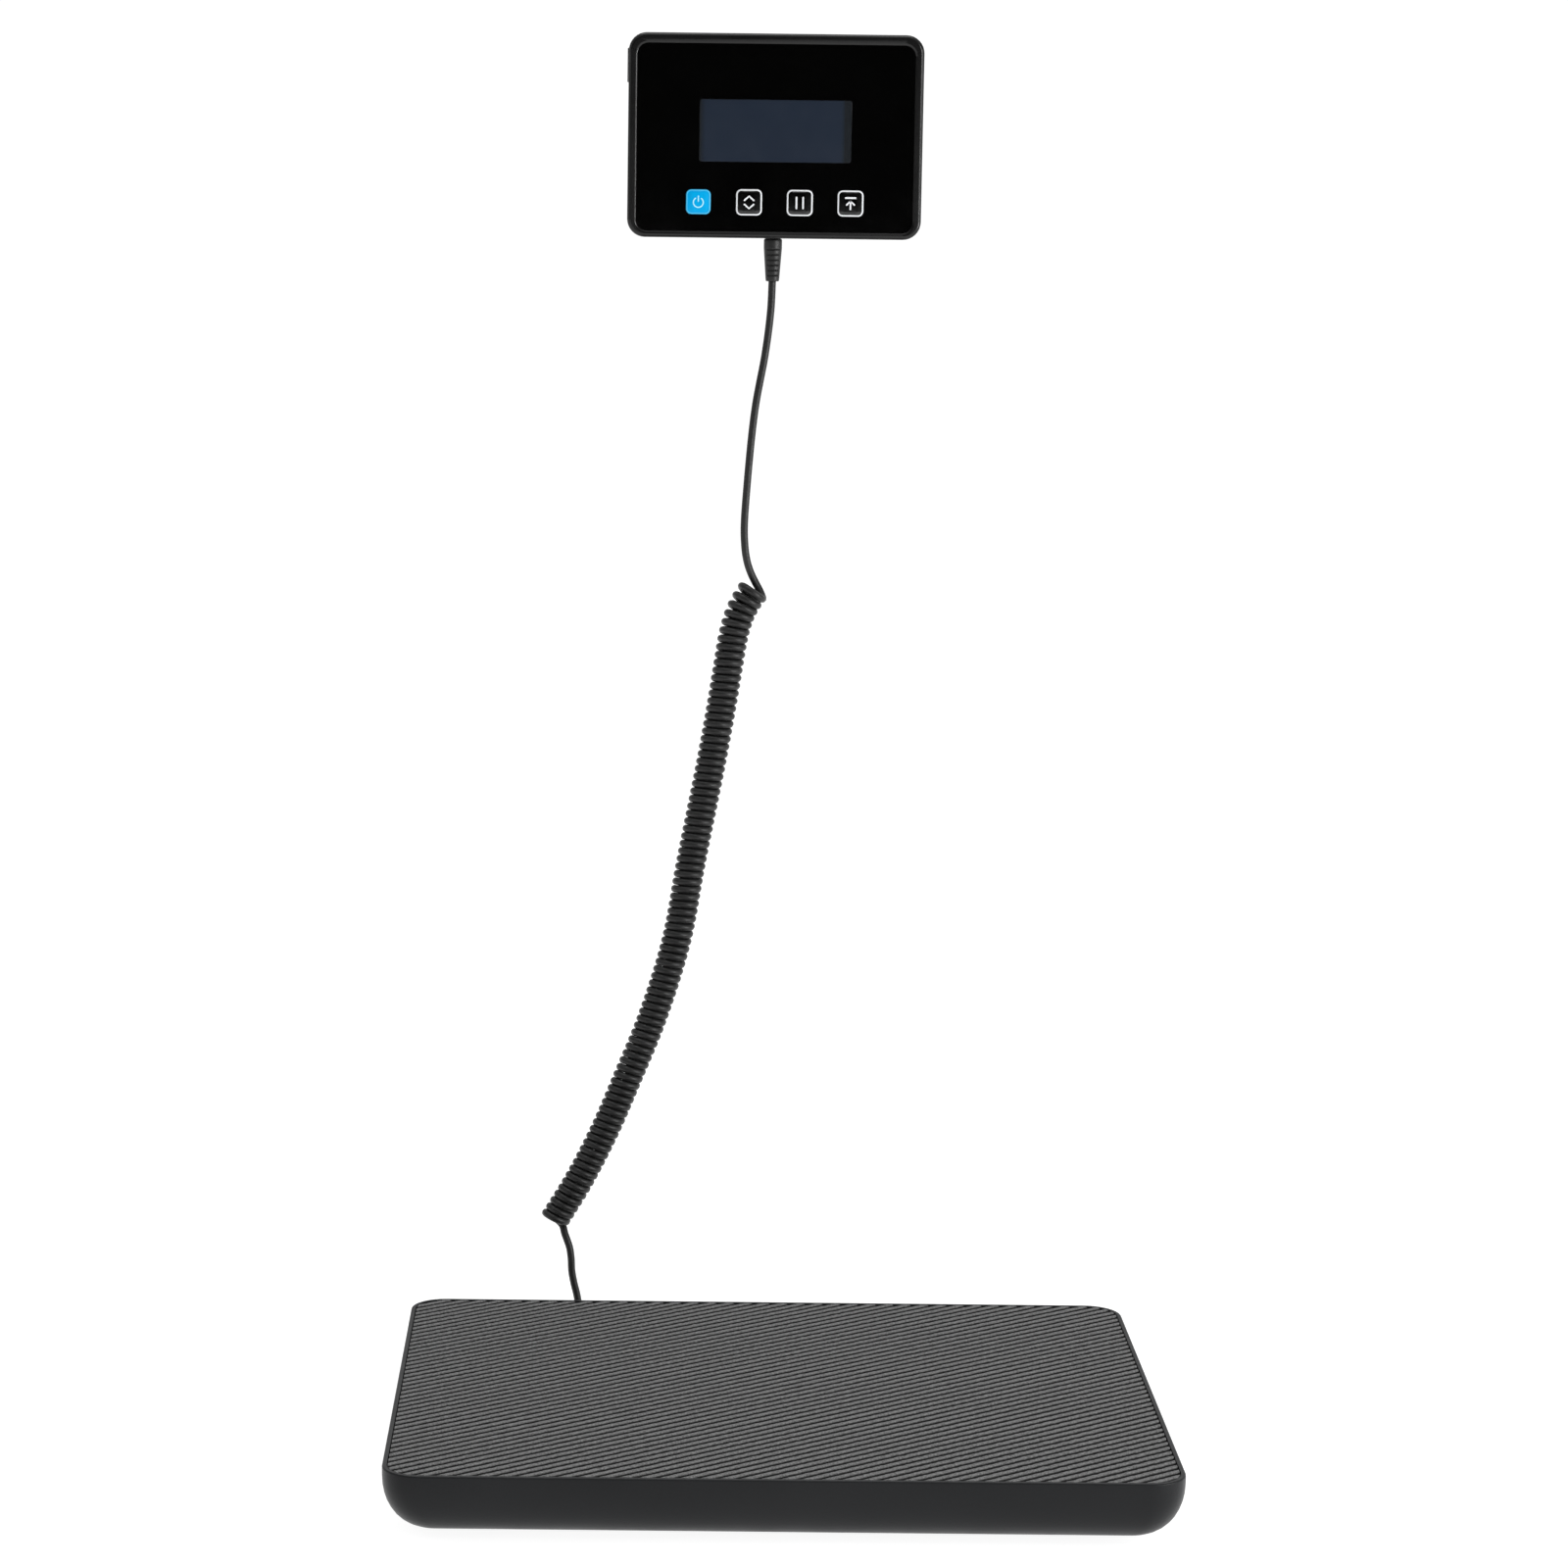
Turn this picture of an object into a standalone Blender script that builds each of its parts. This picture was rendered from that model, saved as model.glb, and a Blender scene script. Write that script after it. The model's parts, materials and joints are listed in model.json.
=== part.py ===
"""A platform shipping scale: a low weighing platform that stands on four load cells, and a remote
display that hangs on a wall bracket and plugs into the platform with a curly cord."""

import math

import bmesh
import bpy
from mathutils import Vector

MM = 0.001
GAP = 0.3 * MM  # kept between pieces that touch
OVERLAP = 0.5 * MM  # how far joined shapes reach into each other
PAST = 2 * MM  # how far a cutter runs past the face that it opens

# Roundness of the meshes
CORNER_STEPS = 8
ROUND_STEPS = 24
SMALL_ROUND_STEPS = 14
SHARP_ANGLE = math.radians(35)

# Platform: housing
PLATFORM_WIDTH = 380 * MM
PLATFORM_DEPTH = 300 * MM
HOUSING_HEIGHT = 31.4 * MM
HOUSING_WALL = 2.5 * MM
CORNER_RADIUS = 18.2 * MM
UNDERCUT_INSET = 20.9 * MM  # how far the wall curves in on its way down
UNDERCUT_HEIGHT = 26.8 * MM
UNDERCUT_CORNER_SHARE = 0.6  # share of the corner radius lost at the underside
UNDERCUT_STEPS = 10
RIM_WIDTH = 2.3 * MM
RIM_EDGE = 0.8 * MM
LIP_WIDTH = 2.0 * MM
MAT_THICKNESS = 2.4 * MM
MAT_PLAY = 0.5 * MM
DECK_THICKNESS = 2.5 * MM

# Platform: feet, load cells, plates
FOOT_CLEARANCE = 5.0 * MM  # height of the housing's underside above the floor
FOOT_FROM_SIDE = 50 * MM
FOOT_FROM_FRONT = 52 * MM
FOOT_RADIUS = 13 * MM
FOOT_RIM_HEIGHT = 7 * MM
FOOT_STUD_RADIUS = 5 * MM
FOOT_PLAY = 2 * MM
PAD_RADIUS = 12.5 * MM
PAD_THICKNESS = 2.0 * MM
CELL_SIDE = 34 * MM
CELL_PLATE = 2.5 * MM
CELL_RIM_WIDTH = 4 * MM
CELL_RIM_HEIGHT = 2.5 * MM
CELL_TONGUE_WIDTH = 12 * MM
CELL_SLOT_WIDTH = 2 * MM
CELL_CORNER = 2 * MM
STIFFENER_THICKNESS = 1.5 * MM
STIFFENER_EDGE = 32 * MM  # from the housing's side to the plate's edge
STIFFENER_RIB_WIDTH = 10 * MM
STIFFENER_RIB_HEIGHT = 5 * MM
STIFFENER_RIB_INSET = 53 * MM
BASE_THICKNESS = 2.0 * MM
BASE_PLAY = 0.5 * MM
POST_RADIUS = 4 * MM
POST_PLAY = 2 * MM
POST_ROOF = 2 * MM  # left above each screw hole
POST_FROM_EDGE = 33 * MM
POST_OFF_CENTRE = 60 * MM

# Platform: junction board, sensor leads and cable gland
BOARD_SIZE = (46 * MM, 30 * MM)
BOARD_THICKNESS = 1.6 * MM
BOARD_CORNER = 2 * MM
BOARD_HEIGHT = 8.0 * MM
CONNECTOR_SIZE = (7 * MM, 22 * MM, 3 * MM)
CONNECTOR_Y = 1 * MM
CONVERTER_SIZE = (12 * MM, 10 * MM, 1.5 * MM)
BOARD_FROM_LEFT = 115 * MM
BOARD_FROM_BACK = 65 * MM
LEAD_RADIUS = 0.8 * MM
LEAD_SPACING = 10 * MM
LEAD_STRAIGHT = 6 * MM
LEAD_DROP = 16 * MM
LEAD_ARCH = 2 * MM
LEAD_FROM_MIDDLE = 5 * MM
GLAND_X = -100 * MM
GLAND_HEIGHT = 14 * MM
GLAND_BORE = 3.8 * MM
GLAND_COLLAR_RADIUS = 5.0 * MM
GLAND_COLLAR_LENGTH = 2.0 * MM
GLAND_BOOT_LENGTH = 10.5 * MM
GLAND_FLANGE_LENGTH = 2.0 * MM
GLAND_FLANGE_INSET = 8.8 * MM  # from the housing's back face to the flange's inner side
GLAND_BOOT_RADII = (4.0 * MM, 2.8 * MM)

# Display: place behind the platform's centre
DISPLAY_X = -3.6 * MM
DISPLAY_Y = 190 * MM  # front face, behind the platform's centre
DISPLAY_Z = 657.6 * MM  # centre, above the floor

# Display: shells
DISPLAY_WIDTH = 155.2 * MM
DISPLAY_HEIGHT = 106.6 * MM
DISPLAY_CORNER = 9.5 * MM
DISPLAY_WALL = 2.0 * MM
FRONT_DEPTH = 12.6 * MM
FRONT_FILLET = 2.0 * MM
BACK_FILLET = 3.0 * MM
FILLET_STEPS = 4

# Display: glossy panel, glass and keys
PANEL_WIDTH = 145.6 * MM
PANEL_HEIGHT = 97.2 * MM
PANEL_CENTRE_Z = -1.05 * MM
PANEL_CORNER = 5.5 * MM
PANEL_THICKNESS = 1.6 * MM
PANEL_SINK = 0.8 * MM
PANEL_CHAMFER = 1.2 * MM  # width of the bezel's inner slope
PANEL_LEDGE = 3.0 * MM
LEDGE_THICKNESS = 2.0 * MM
WINDOW_WIDTH = 80.6 * MM
WINDOW_HEIGHT = 32.8 * MM
WINDOW_Z = 2.75 * MM
WINDOW_CORNER = 1.4 * MM
LCD_SINK = 0.3 * MM  # below the panel's face
LCD_FLANGE = 2.8 * MM
LCD_FLANGE_THICKNESS = 1.7 * MM
BACKLIGHT_THICKNESS = 2.1 * MM
KEY_SIDE = 13.7 * MM
POWER_KEY_SIDE = 12.9 * MM
KEY_CORNER = 2.8 * MM
KEY_EDGE = 0.4 * MM
KEY_PITCH = 26.75 * MM
KEY_Z = -34.5 * MM
KEY_PROUD = 0.5 * MM  # above the panel's face
KEY_PLAY = 0.25 * MM
KEY_FLANGE = 1.4 * MM
KEY_FLANGE_THICKNESS = 1.1 * MM
KEY_TRAVEL = 0.7 * MM
KEY_NAMES = ("power", "unit", "hold", "tare")
DOME_RADII = (4.5 * MM, 3.2 * MM)
DOME_HEIGHT = 1.55 * MM
DOME_SHEET_MARGIN = 9 * MM
DOME_SHEET_CORNER = 3 * MM
DOME_SHEET_THICKNESS = 1.3 * MM

# Display: boards, plug and socket
MAIN_BOARD_INSET = (13.6 * MM, 10.3 * MM)  # from the shell's sides, and from its top and bottom
CHIP_HEIGHT = 1.0 * MM
MAIN_CHIPS = (  # x, z, width and height of each chip, from the display's centre
    (-46 * MM, 18 * MM, 14 * MM, 14 * MM),
    (-20 * MM, 26 * MM, 8 * MM, 6 * MM),
    (46 * MM, 20 * MM, 10 * MM, 5 * MM),
    (48 * MM, -10 * MM, 6 * MM, 12 * MM),
)
SOCKET_SIZE = (10 * MM, 6 * MM, 13 * MM)
SOCKET_BORE = 2.1 * MM
PIN_RADIUS = 1.75 * MM
PIN_LENGTH = 12.5 * MM
PLUG_HOLE = 2.6 * MM
BOOT_RADII = (4.85 * MM, 3.6 * MM)
BOOT_COLLAR = 5.8 * MM
BOOT_LENGTH = 22.5 * MM

# Display: battery bay
BAY_WIDTH = 54 * MM
BAY_Z = -12 * MM
BAY_FROM_CHIPS = 0.6 * MM
BAY_FLOOR = 1.5 * MM
BAY_WALL = 5 * MM
DOOR_LEDGE = 2.7 * MM
DOOR_THICKNESS = 1.8 * MM
DOOR_CORNER = 2 * MM
DOOR_TAB_X = 15 * MM
DOOR_TAB_WIDTH = 8 * MM
DOOR_TAB_REACH = 1.8 * MM
DOOR_TAB_DEPTH = 1.6 * MM
DOOR_TAB_THICKNESS = 1.1 * MM
DOOR_TAB_ROOT = 1.6 * MM
BATTERY_RADIUS = 5.25 * MM
BATTERY_LENGTH = 44.5 * MM
BATTERY_NUB = (1.9 * MM, 1.2 * MM)
BATTERY_SPACING = 0.7 * MM  # between two cells
BATTERY_PLAY = 1.05 * MM  # above and below the three cells
BATTERY_TO_DOOR = 0.9 * MM
CONTACT_THICKNESS = 0.5 * MM
CONTACT_DEPTH = 9 * MM
CONTACT_DIMPLE = 2.6 * MM
SPRING_RADIUS = 2.8 * MM
SPRING_WIRE = 0.3 * MM
SPRING_TURNS = 3

# Display: raised pad on the back shell's left side
SIDE_PAD_Z = 36.3 * MM
SIDE_PAD_HEIGHT = 18 * MM
SIDE_PAD_DEPTH = 7 * MM
SIDE_PAD_PROUD = 0.6 * MM

# Display: screws and wall bracket
SCREW_SHAFT = 1.4 * MM
SCREW_HEAD = 2.8 * MM
SCREW_HEAD_HEIGHT = 2.2 * MM
SCREW_FROM_CORNER = 8.3 * MM
DISPLAY_POST = 3.5 * MM
COUNTERBORE_DEPTH = 6.0 * MM
BRACKET_WIDTH = 60 * MM
BRACKET_HEIGHT = 30 * MM
BRACKET_THICKNESS = 2 * MM
BRACKET_CORNER = 4 * MM
BRACKET_Z = 35.5 * MM
BRACKET_GAP = 0.6 * MM
BRACKET_HOLE = 2.2 * MM
HOOK_X = 18 * MM
HOOK_WIDTH = 8 * MM
HOOK_NECK = 2.5 * MM
HOOK_RISE = 8 * MM
HOOK_TIP = 2.3 * MM
HOOK_Z = 29.25 * MM
HOOK_PLAY = 1 * MM
LIFT_TRAVEL = 10 * MM

# Cord
CORD_RADIUS = 1.8 * MM
COIL_RADIUS = 7.7 * MM
CORD_SPACING = 7 * MM
COIL_SPACING = 12 * MM
TAIL_SPACING = 4 * MM

# The cord's route in millimetres, from the plug down to the cable gland. x and y are measured
# from the platform's centre and z from the floor. The middle stretch is the curly part's axis.
UPPER_ROUTE = (
    (-3.6, 202.4, 577.0),
    (-4.2, 202.1, 566.0),
    (-6.7, 202.0, 543.6),
    (-11.8, 202.0, 513.0),
    (-15.5, 202.0, 470.3),
    (-16.5, 201.8, 449.2),
    (-15.6, 201.4, 437.5),
    (-13.6, 200.9, 428.5),
    (-11.2, 200.6, 422.0),
    (-10.1, 200.4, 418.6),
)
COIL_ROUTE = (
    (-11.0, 200.3, 416.6),
    (-12.6, 200.1, 414.3),
    (-15.4, 199.8, 409.8),
    (-19.3, 199.2, 400.8),
    (-21.6, 198.7, 391.8),
    (-23.8, 197.6, 378.1),
    (-27.0, 196.2, 357.0),
    (-32.4, 194.0, 324.9),
    (-42.8, 190.0, 269.6),
    (-50.2, 187.0, 227.0),
    (-63.0, 184.0, 184.2),
    (-75.9, 181.0, 151.9),
    (-87.8, 179.0, 123.4),
    (-101.6, 177.0, 95.8),
    (-115.1, 176.0, 73.1),
)
TAIL_ROUTE = (
    (-111.2, 176.6, 68.9),
    (-109.3, 176.0, 66.4),
    (-107.6, 175.2, 62.6),
    (-106.2, 174.6, 58.6),
    (-105.3, 174.2, 52.7),
    (-104.9, 174.0, 45.8),
    (-103.6, 174.0, 38.8),
    (-102.0, 173.9, 32.4),
    (-100.9, 172.8, 26.4),
    (-100.2, 169.5, 21.3),
    (-100.0, 165.6, 19.3),
)

# Sizes that follow from the ones above
HALF_WIDTH = PLATFORM_WIDTH / 2
HALF_DEPTH = PLATFORM_DEPTH / 2
DECK_TOP = HOUSING_HEIGHT - MAT_THICKNESS
DECK_UNDERSIDE = DECK_TOP - DECK_THICKNESS
OPENING_INSET = UNDERCUT_INSET + LIP_WIDTH
STIFFENER_TOP = DECK_UNDERSIDE - GAP
STIFFENER_BOTTOM = STIFFENER_TOP - STIFFENER_THICKNESS
CELL_TOP = STIFFENER_BOTTOM - GAP
CELL_BOTTOM = CELL_TOP - CELL_RIM_HEIGHT - CELL_PLATE
FOOT_PLACES = [
    (side * (HALF_WIDTH - FOOT_FROM_SIDE), end * (HALF_DEPTH - FOOT_FROM_FRONT))
    for side in (-1, 1)
    for end in (-1, 1)
]
POST_PLACES = [(side * (HALF_WIDTH - POST_FROM_EDGE), 0.0) for side in (-1, 1)] + [
    (side * POST_OFF_CENTRE, end * (HALF_DEPTH - POST_FROM_EDGE))
    for side in (-1, 1)
    for end in (-1, 1)
]
BOARD_X = BOARD_FROM_LEFT - HALF_WIDTH
BOARD_Y = HALF_DEPTH - BOARD_FROM_BACK
SCREW_HOLE = SCREW_SHAFT + GAP
KEY_PLACES = [(place - (len(KEY_NAMES) - 1) / 2) * KEY_PITCH for place in range(len(KEY_NAMES))]
PANEL_BACK = PANEL_SINK + PANEL_THICKNESS
LCD_FRONT = PANEL_SINK + LCD_SINK
KEY_FRONT = PANEL_SINK - KEY_PROUD
LEDGE_FRONT = PANEL_BACK + GAP
LEDGE_BACK = LEDGE_FRONT + LEDGE_THICKNESS
KEY_BACK = PANEL_BACK + GAP + KEY_FLANGE_THICKNESS
LCD_BACK = PANEL_BACK + GAP + LCD_FLANGE_THICKNESS
BACKLIGHT_FRONT = LCD_BACK + GAP
BACKLIGHT_BACK = BACKLIGHT_FRONT + BACKLIGHT_THICKNESS
DOME_TOP = KEY_BACK + KEY_TRAVEL + GAP / 2
DOME_SHEET_FRONT = DOME_TOP + DOME_HEIGHT
MAIN_BOARD_FRONT = DOME_SHEET_FRONT + DOME_SHEET_THICKNESS + GAP
MAIN_BOARD_BACK = MAIN_BOARD_FRONT + BOARD_THICKNESS
PLUG_Y = MAIN_BOARD_BACK + GAP + SOCKET_SIZE[1] / 2
MAIN_BOARD_SIZE = (DISPLAY_WIDTH - 2 * MAIN_BOARD_INSET[0], DISPLAY_HEIGHT - 2 * MAIN_BOARD_INSET[1])
DISPLAY_BOTTOM = -DISPLAY_HEIGHT / 2
BATTERY_PITCH = 2 * BATTERY_RADIUS + BATTERY_SPACING
BAY_HEIGHT = 2 * (BATTERY_PITCH + BATTERY_RADIUS + BATTERY_PLAY)
BAY_FRONT = MAIN_BOARD_BACK + CHIP_HEIGHT + BAY_FROM_CHIPS + BAY_FLOOR
DISPLAY_DEPTH = BAY_FRONT + GAP + 2 * BATTERY_RADIUS + BATTERY_TO_DOOR + DOOR_THICKNESS
BACK_FRONT = FRONT_DEPTH + GAP
BACK_WALL_FRONT = DISPLAY_DEPTH - DISPLAY_WALL
DOOR_FRONT = DISPLAY_DEPTH - DOOR_THICKNESS
DOOR_HEIGHT = BAY_HEIGHT + 2 * (DOOR_LEDGE - GAP)
DOOR_BOTTOM = BAY_Z - DOOR_HEIGHT / 2
SCREW_PLACES = [
    (side * (DISPLAY_WIDTH / 2 - SCREW_FROM_CORNER), end * (DISPLAY_HEIGHT / 2 - SCREW_FROM_CORNER))
    for side in (-1, 1)
    for end in (-1, 1)
]
BRACKET_FRONT = DISPLAY_DEPTH + BRACKET_GAP
BRACKET_BACK = BRACKET_FRONT + BRACKET_THICKNESS
# The origin lies midway between the platform's front and the bracket's back.
PLATFORM_Y = (HALF_DEPTH - DISPLAY_Y - BRACKET_BACK) / 2


# ---------------------------------------------------------------- outlines and solids


def rounded(width, height, radius, u=0.0, v=0.0, steps=CORNER_STEPS):
    """A rounded rectangle centred on u, v, counter-clockwise."""
    points = []
    for corner, (side, end) in enumerate(((1, 1), (-1, 1), (-1, -1), (1, -1))):
        centre_u = u + side * (width / 2 - radius)
        centre_v = v + end * (height / 2 - radius)
        for step in range(steps + 1):
            angle = (corner + step / steps) * math.pi / 2
            points.append((centre_u + radius * math.cos(angle), centre_v + radius * math.sin(angle)))
    return points


def span(middle, size):
    """The low and high ends of a size round its middle."""
    return (middle - size / 2, middle + size / 2)


def rectangle(u_low, u_high, v_low, v_high):
    return [(u_high, v_high), (u_low, v_high), (u_low, v_low), (u_high, v_low)]


def circle(radius, u=0.0, v=0.0, steps=ROUND_STEPS):
    angles = [2 * math.pi * step / steps for step in range(steps)]
    return [(u + radius * math.cos(angle), v + radius * math.sin(angle)) for angle in angles]


def placed(u, v, height, axis):
    """The point at u, v on a plane across axis, at that height along it."""
    return {"Z": (u, v, height), "Y": (u, height, v), "X": (height, u, v)}[axis]


def faced_outwards(bm):
    bmesh.ops.recalc_face_normals(bm, faces=bm.faces)
    if bm.calc_volume(signed=True) < 0:
        bmesh.ops.reverse_faces(bm, faces=bm.faces)
    return bm


def loft(levels, axis="Z"):
    """A closed solid through outlines of equal length, given as (height, outline) pairs."""
    bm = bmesh.new()
    rings = [
        [bm.verts.new(placed(u, v, height, axis)) for u, v in outline] for height, outline in levels
    ]
    count = len(rings[0])
    for low, high in zip(rings, rings[1:]):
        for i in range(count):
            j = (i + 1) % count
            bm.faces.new((low[i], low[j], high[j], high[i]))
    bm.faces.new(rings[0])
    bm.faces.new(rings[-1])
    return faced_outwards(bm)


def prism(outline, low, high, axis="Z"):
    return loft([(low, outline), (high, outline)], axis)


def block(x, y, z):
    """A box from three (low, high) pairs."""
    return prism(rectangle(*x, *y), *z)


def turned(profile, axis="Z", centre=(0.0, 0.0), steps=ROUND_STEPS):
    """A round solid from (height, radius) pairs along axis."""
    return loft([(height, circle(radius, *centre, steps)) for height, radius in profile], axis)


def tube_ring(outer, inner, low, high, axis="Z"):
    """A closed frame between two outlines of equal length."""
    bm = bmesh.new()
    loops = [
        [bm.verts.new(placed(u, v, height, axis)) for u, v in outline]
        for height, outline in ((low, outer), (high, outer), (high, inner), (low, inner))
    ]
    count = len(outer)
    for here, there in zip(loops, loops[1:] + loops[:1]):
        for i in range(count):
            j = (i + 1) % count
            bm.faces.new((here[i], here[j], there[j], there[i]))
    return faced_outwards(bm)


def gather(shapes):
    """Several solids that don't touch, as one mesh for a cut."""
    whole = bmesh.new()
    for shape in shapes:
        mesh = bpy.data.meshes.new("gathered")
        shape.to_mesh(mesh)
        shape.free()
        whole.from_mesh(mesh)
        bpy.data.meshes.remove(mesh)
    return whole


def add_object(name, bm, parent, place):
    mesh = bpy.data.meshes.new(name)
    bm.to_mesh(mesh)
    bm.free()
    obj = bpy.data.objects.new(name, mesh)
    obj.location = place
    obj.parent = parent
    bpy.context.scene.collection.objects.link(obj)
    return obj


def combine(obj, bm, operation):
    """Joins a shape to an object, or cuts it away, with an exact Boolean."""
    helper = add_object(f"{obj.name}_{operation.lower()}_{len(obj.modifiers)}", bm, obj.parent, obj.location)
    helper.hide_render = True
    helper.display_type = "WIRE"
    modifier = obj.modifiers.new(helper.name, "BOOLEAN")
    modifier.operation = operation
    modifier.object = helper


def solid(name, bm, paint, parent, place=(0.0, 0.0, 0.0), joined=(), cut=()):
    """One named piece: a base shape, shapes joined to it, then shapes cut away from it."""
    obj = add_object(name, bm, parent, place)
    obj.data.materials.append(paint)
    for shape in joined:
        combine(obj, shape, "UNION")
    for shape in cut:
        combine(obj, shape, "DIFFERENCE")
    obj.data.shade_smooth()
    obj.data.set_sharp_from_angle(angle=SHARP_ANGLE)
    return obj


def frame(name, place, parent=None):
    empty = bpy.data.objects.new(name, None)
    empty.location = place
    empty.parent = parent
    bpy.context.scene.collection.objects.link(empty)
    return empty


def material(name, colour, roughness, metallic=0.0):
    paint = bpy.data.materials.new(name)
    paint.use_nodes = True
    shader = paint.node_tree.nodes["Principled BSDF"]
    shader.inputs["Base Color"].default_value = (*colour, 1.0)
    shader.inputs["Roughness"].default_value = roughness
    shader.inputs["Metallic"].default_value = metallic
    return paint


# ---------------------------------------------------------------- smooth routes and tubes


def spline(points, per_span=24):
    """Close points along a centripetal curve through the given points."""
    ends = [2 * points[0] - points[1], *points, 2 * points[-1] - points[-2]]
    curve = []
    for i in range(1, len(ends) - 2):
        p0, p1, p2, p3 = ends[i - 1 : i + 3]
        t1 = (p1 - p0).length ** 0.5
        t2 = t1 + (p2 - p1).length ** 0.5
        t3 = t2 + (p3 - p2).length ** 0.5
        for step in range(per_span):
            t = t1 + (t2 - t1) * step / per_span
            a1 = p0.lerp(p1, t / t1)
            a2 = p1.lerp(p2, (t - t1) / (t2 - t1))
            a3 = p2.lerp(p3, (t - t2) / (t3 - t2))
            b1 = a1.lerp(a2, t / t2)
            b2 = a2.lerp(a3, (t - t1) / (t3 - t1))
            curve.append(b1.lerp(b2, (t - t1) / (t2 - t1)))
    return [*curve, points[-1]]


def run_lengths(curve):
    lengths = [0.0]
    for here, there in zip(curve, curve[1:]):
        lengths.append(lengths[-1] + (there - here).length)
    return lengths


def stretch(curve, start, end, spacing):
    """Evenly spaced points along a curve between two lengths from its start."""
    lengths = run_lengths(curve)
    count = max(2, round((end - start) / spacing))
    points = []
    for step in range(count + 1):
        wanted = start + (end - start) * step / count
        i = max(n for n in range(len(lengths) - 1) if lengths[n] <= wanted)
        share = (wanted - lengths[i]) / (lengths[i + 1] - lengths[i])
        points.append(curve[i].lerp(curve[i + 1], share))
    return points


def tube(name, points, radius, paint, parent, roundness=2):
    """A plain round tube with closed ends along the points."""
    curve = bpy.data.curves.new(name, "CURVE")
    curve.dimensions = "3D"
    curve.bevel_depth = radius
    curve.bevel_resolution = roundness
    curve.use_fill_caps = True
    path = curve.splines.new("POLY")
    path.points.add(len(points) - 1)
    for knot, point in zip(path.points, points):
        knot.co = (*point, 1.0)
    curve.materials.append(paint)
    obj = bpy.data.objects.new(name, curve)
    obj.parent = parent
    bpy.context.scene.collection.objects.link(obj)
    return obj


# ---------------------------------------------------------------- platform


def housing_outline(inset, corner):
    return rounded(PLATFORM_WIDTH - 2 * inset, PLATFORM_DEPTH - 2 * inset, corner)


def undercut_levels(wall):
    """The curved lower wall, moved inwards by a wall thickness, from the underside up."""
    levels = []
    for step in range(UNDERCUT_STEPS + 1):
        angle = math.pi / 2 * (1 - step / UNDERCUT_STEPS)
        inset = UNDERCUT_INSET - (UNDERCUT_INSET - wall) * math.cos(angle)
        height = UNDERCUT_HEIGHT - (UNDERCUT_HEIGHT - wall) * math.sin(angle)
        lost = UNDERCUT_CORNER_SHARE * (inset - wall) / (UNDERCUT_INSET - wall)
        levels.append((height, housing_outline(inset, CORNER_RADIUS * (1 - lost) - wall)))
    return levels


def rim_levels():
    """The rounded top edge of the rim."""
    levels = []
    for step in range(FILLET_STEPS + 1):
        angle = math.pi / 2 * step / FILLET_STEPS
        inset = RIM_EDGE * (1 - math.cos(angle))
        height = HOUSING_HEIGHT - RIM_EDGE * (1 - math.sin(angle))
        levels.append((height, housing_outline(inset, CORNER_RADIUS - inset)))
    return levels


def opening_outline(inset):
    """The opening in the underside, or what fits in it with a smaller outline."""
    corner = CORNER_RADIUS * (1 - UNDERCUT_CORNER_SHARE)
    return housing_outline(inset, corner)


def make_housing(paint, parent):
    cavity = undercut_levels(HOUSING_WALL)
    opening = opening_outline(OPENING_INSET)
    cavity = [(-PAST, opening), (HOUSING_WALL, opening)] + cavity
    cavity.append((DECK_UNDERSIDE, cavity[-1][1]))
    mat_bed = housing_outline(RIM_WIDTH, CORNER_RADIUS - RIM_WIDTH)
    post_bottom = BASE_THICKNESS + GAP
    posts = [
        prism(circle(POST_RADIUS, x, y, SMALL_ROUND_STEPS), post_bottom, DECK_UNDERSIDE + OVERLAP)
        for x, y in POST_PLACES
    ]
    screw_holes = [
        prism(circle(SCREW_HOLE, x, y, SMALL_ROUND_STEPS), -PAST, DECK_UNDERSIDE - POST_ROOF)
        for x, y in POST_PLACES
    ]
    cable_hole = prism(
        circle(GLAND_BORE, GLAND_X, GLAND_HEIGHT), HALF_DEPTH - UNDERCUT_INSET, HALF_DEPTH + PAST, "Y"
    )
    housing = solid("platform_housing", loft(undercut_levels(0.0) + rim_levels()), paint, parent)
    combine(housing, loft(cavity), "DIFFERENCE")
    combine(housing, gather(posts), "UNION")
    combine(housing, gather(screw_holes), "DIFFERENCE")
    combine(housing, prism(mat_bed, DECK_TOP, HOUSING_HEIGHT + PAST), "DIFFERENCE")
    combine(housing, cable_hole, "DIFFERENCE")


def make_mat(paint, parent):
    inset = RIM_WIDTH + MAT_PLAY
    outline = housing_outline(inset, CORNER_RADIUS - inset)
    solid("deck_mat", prism(outline, DECK_TOP + GAP, HOUSING_HEIGHT), paint, parent)


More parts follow.
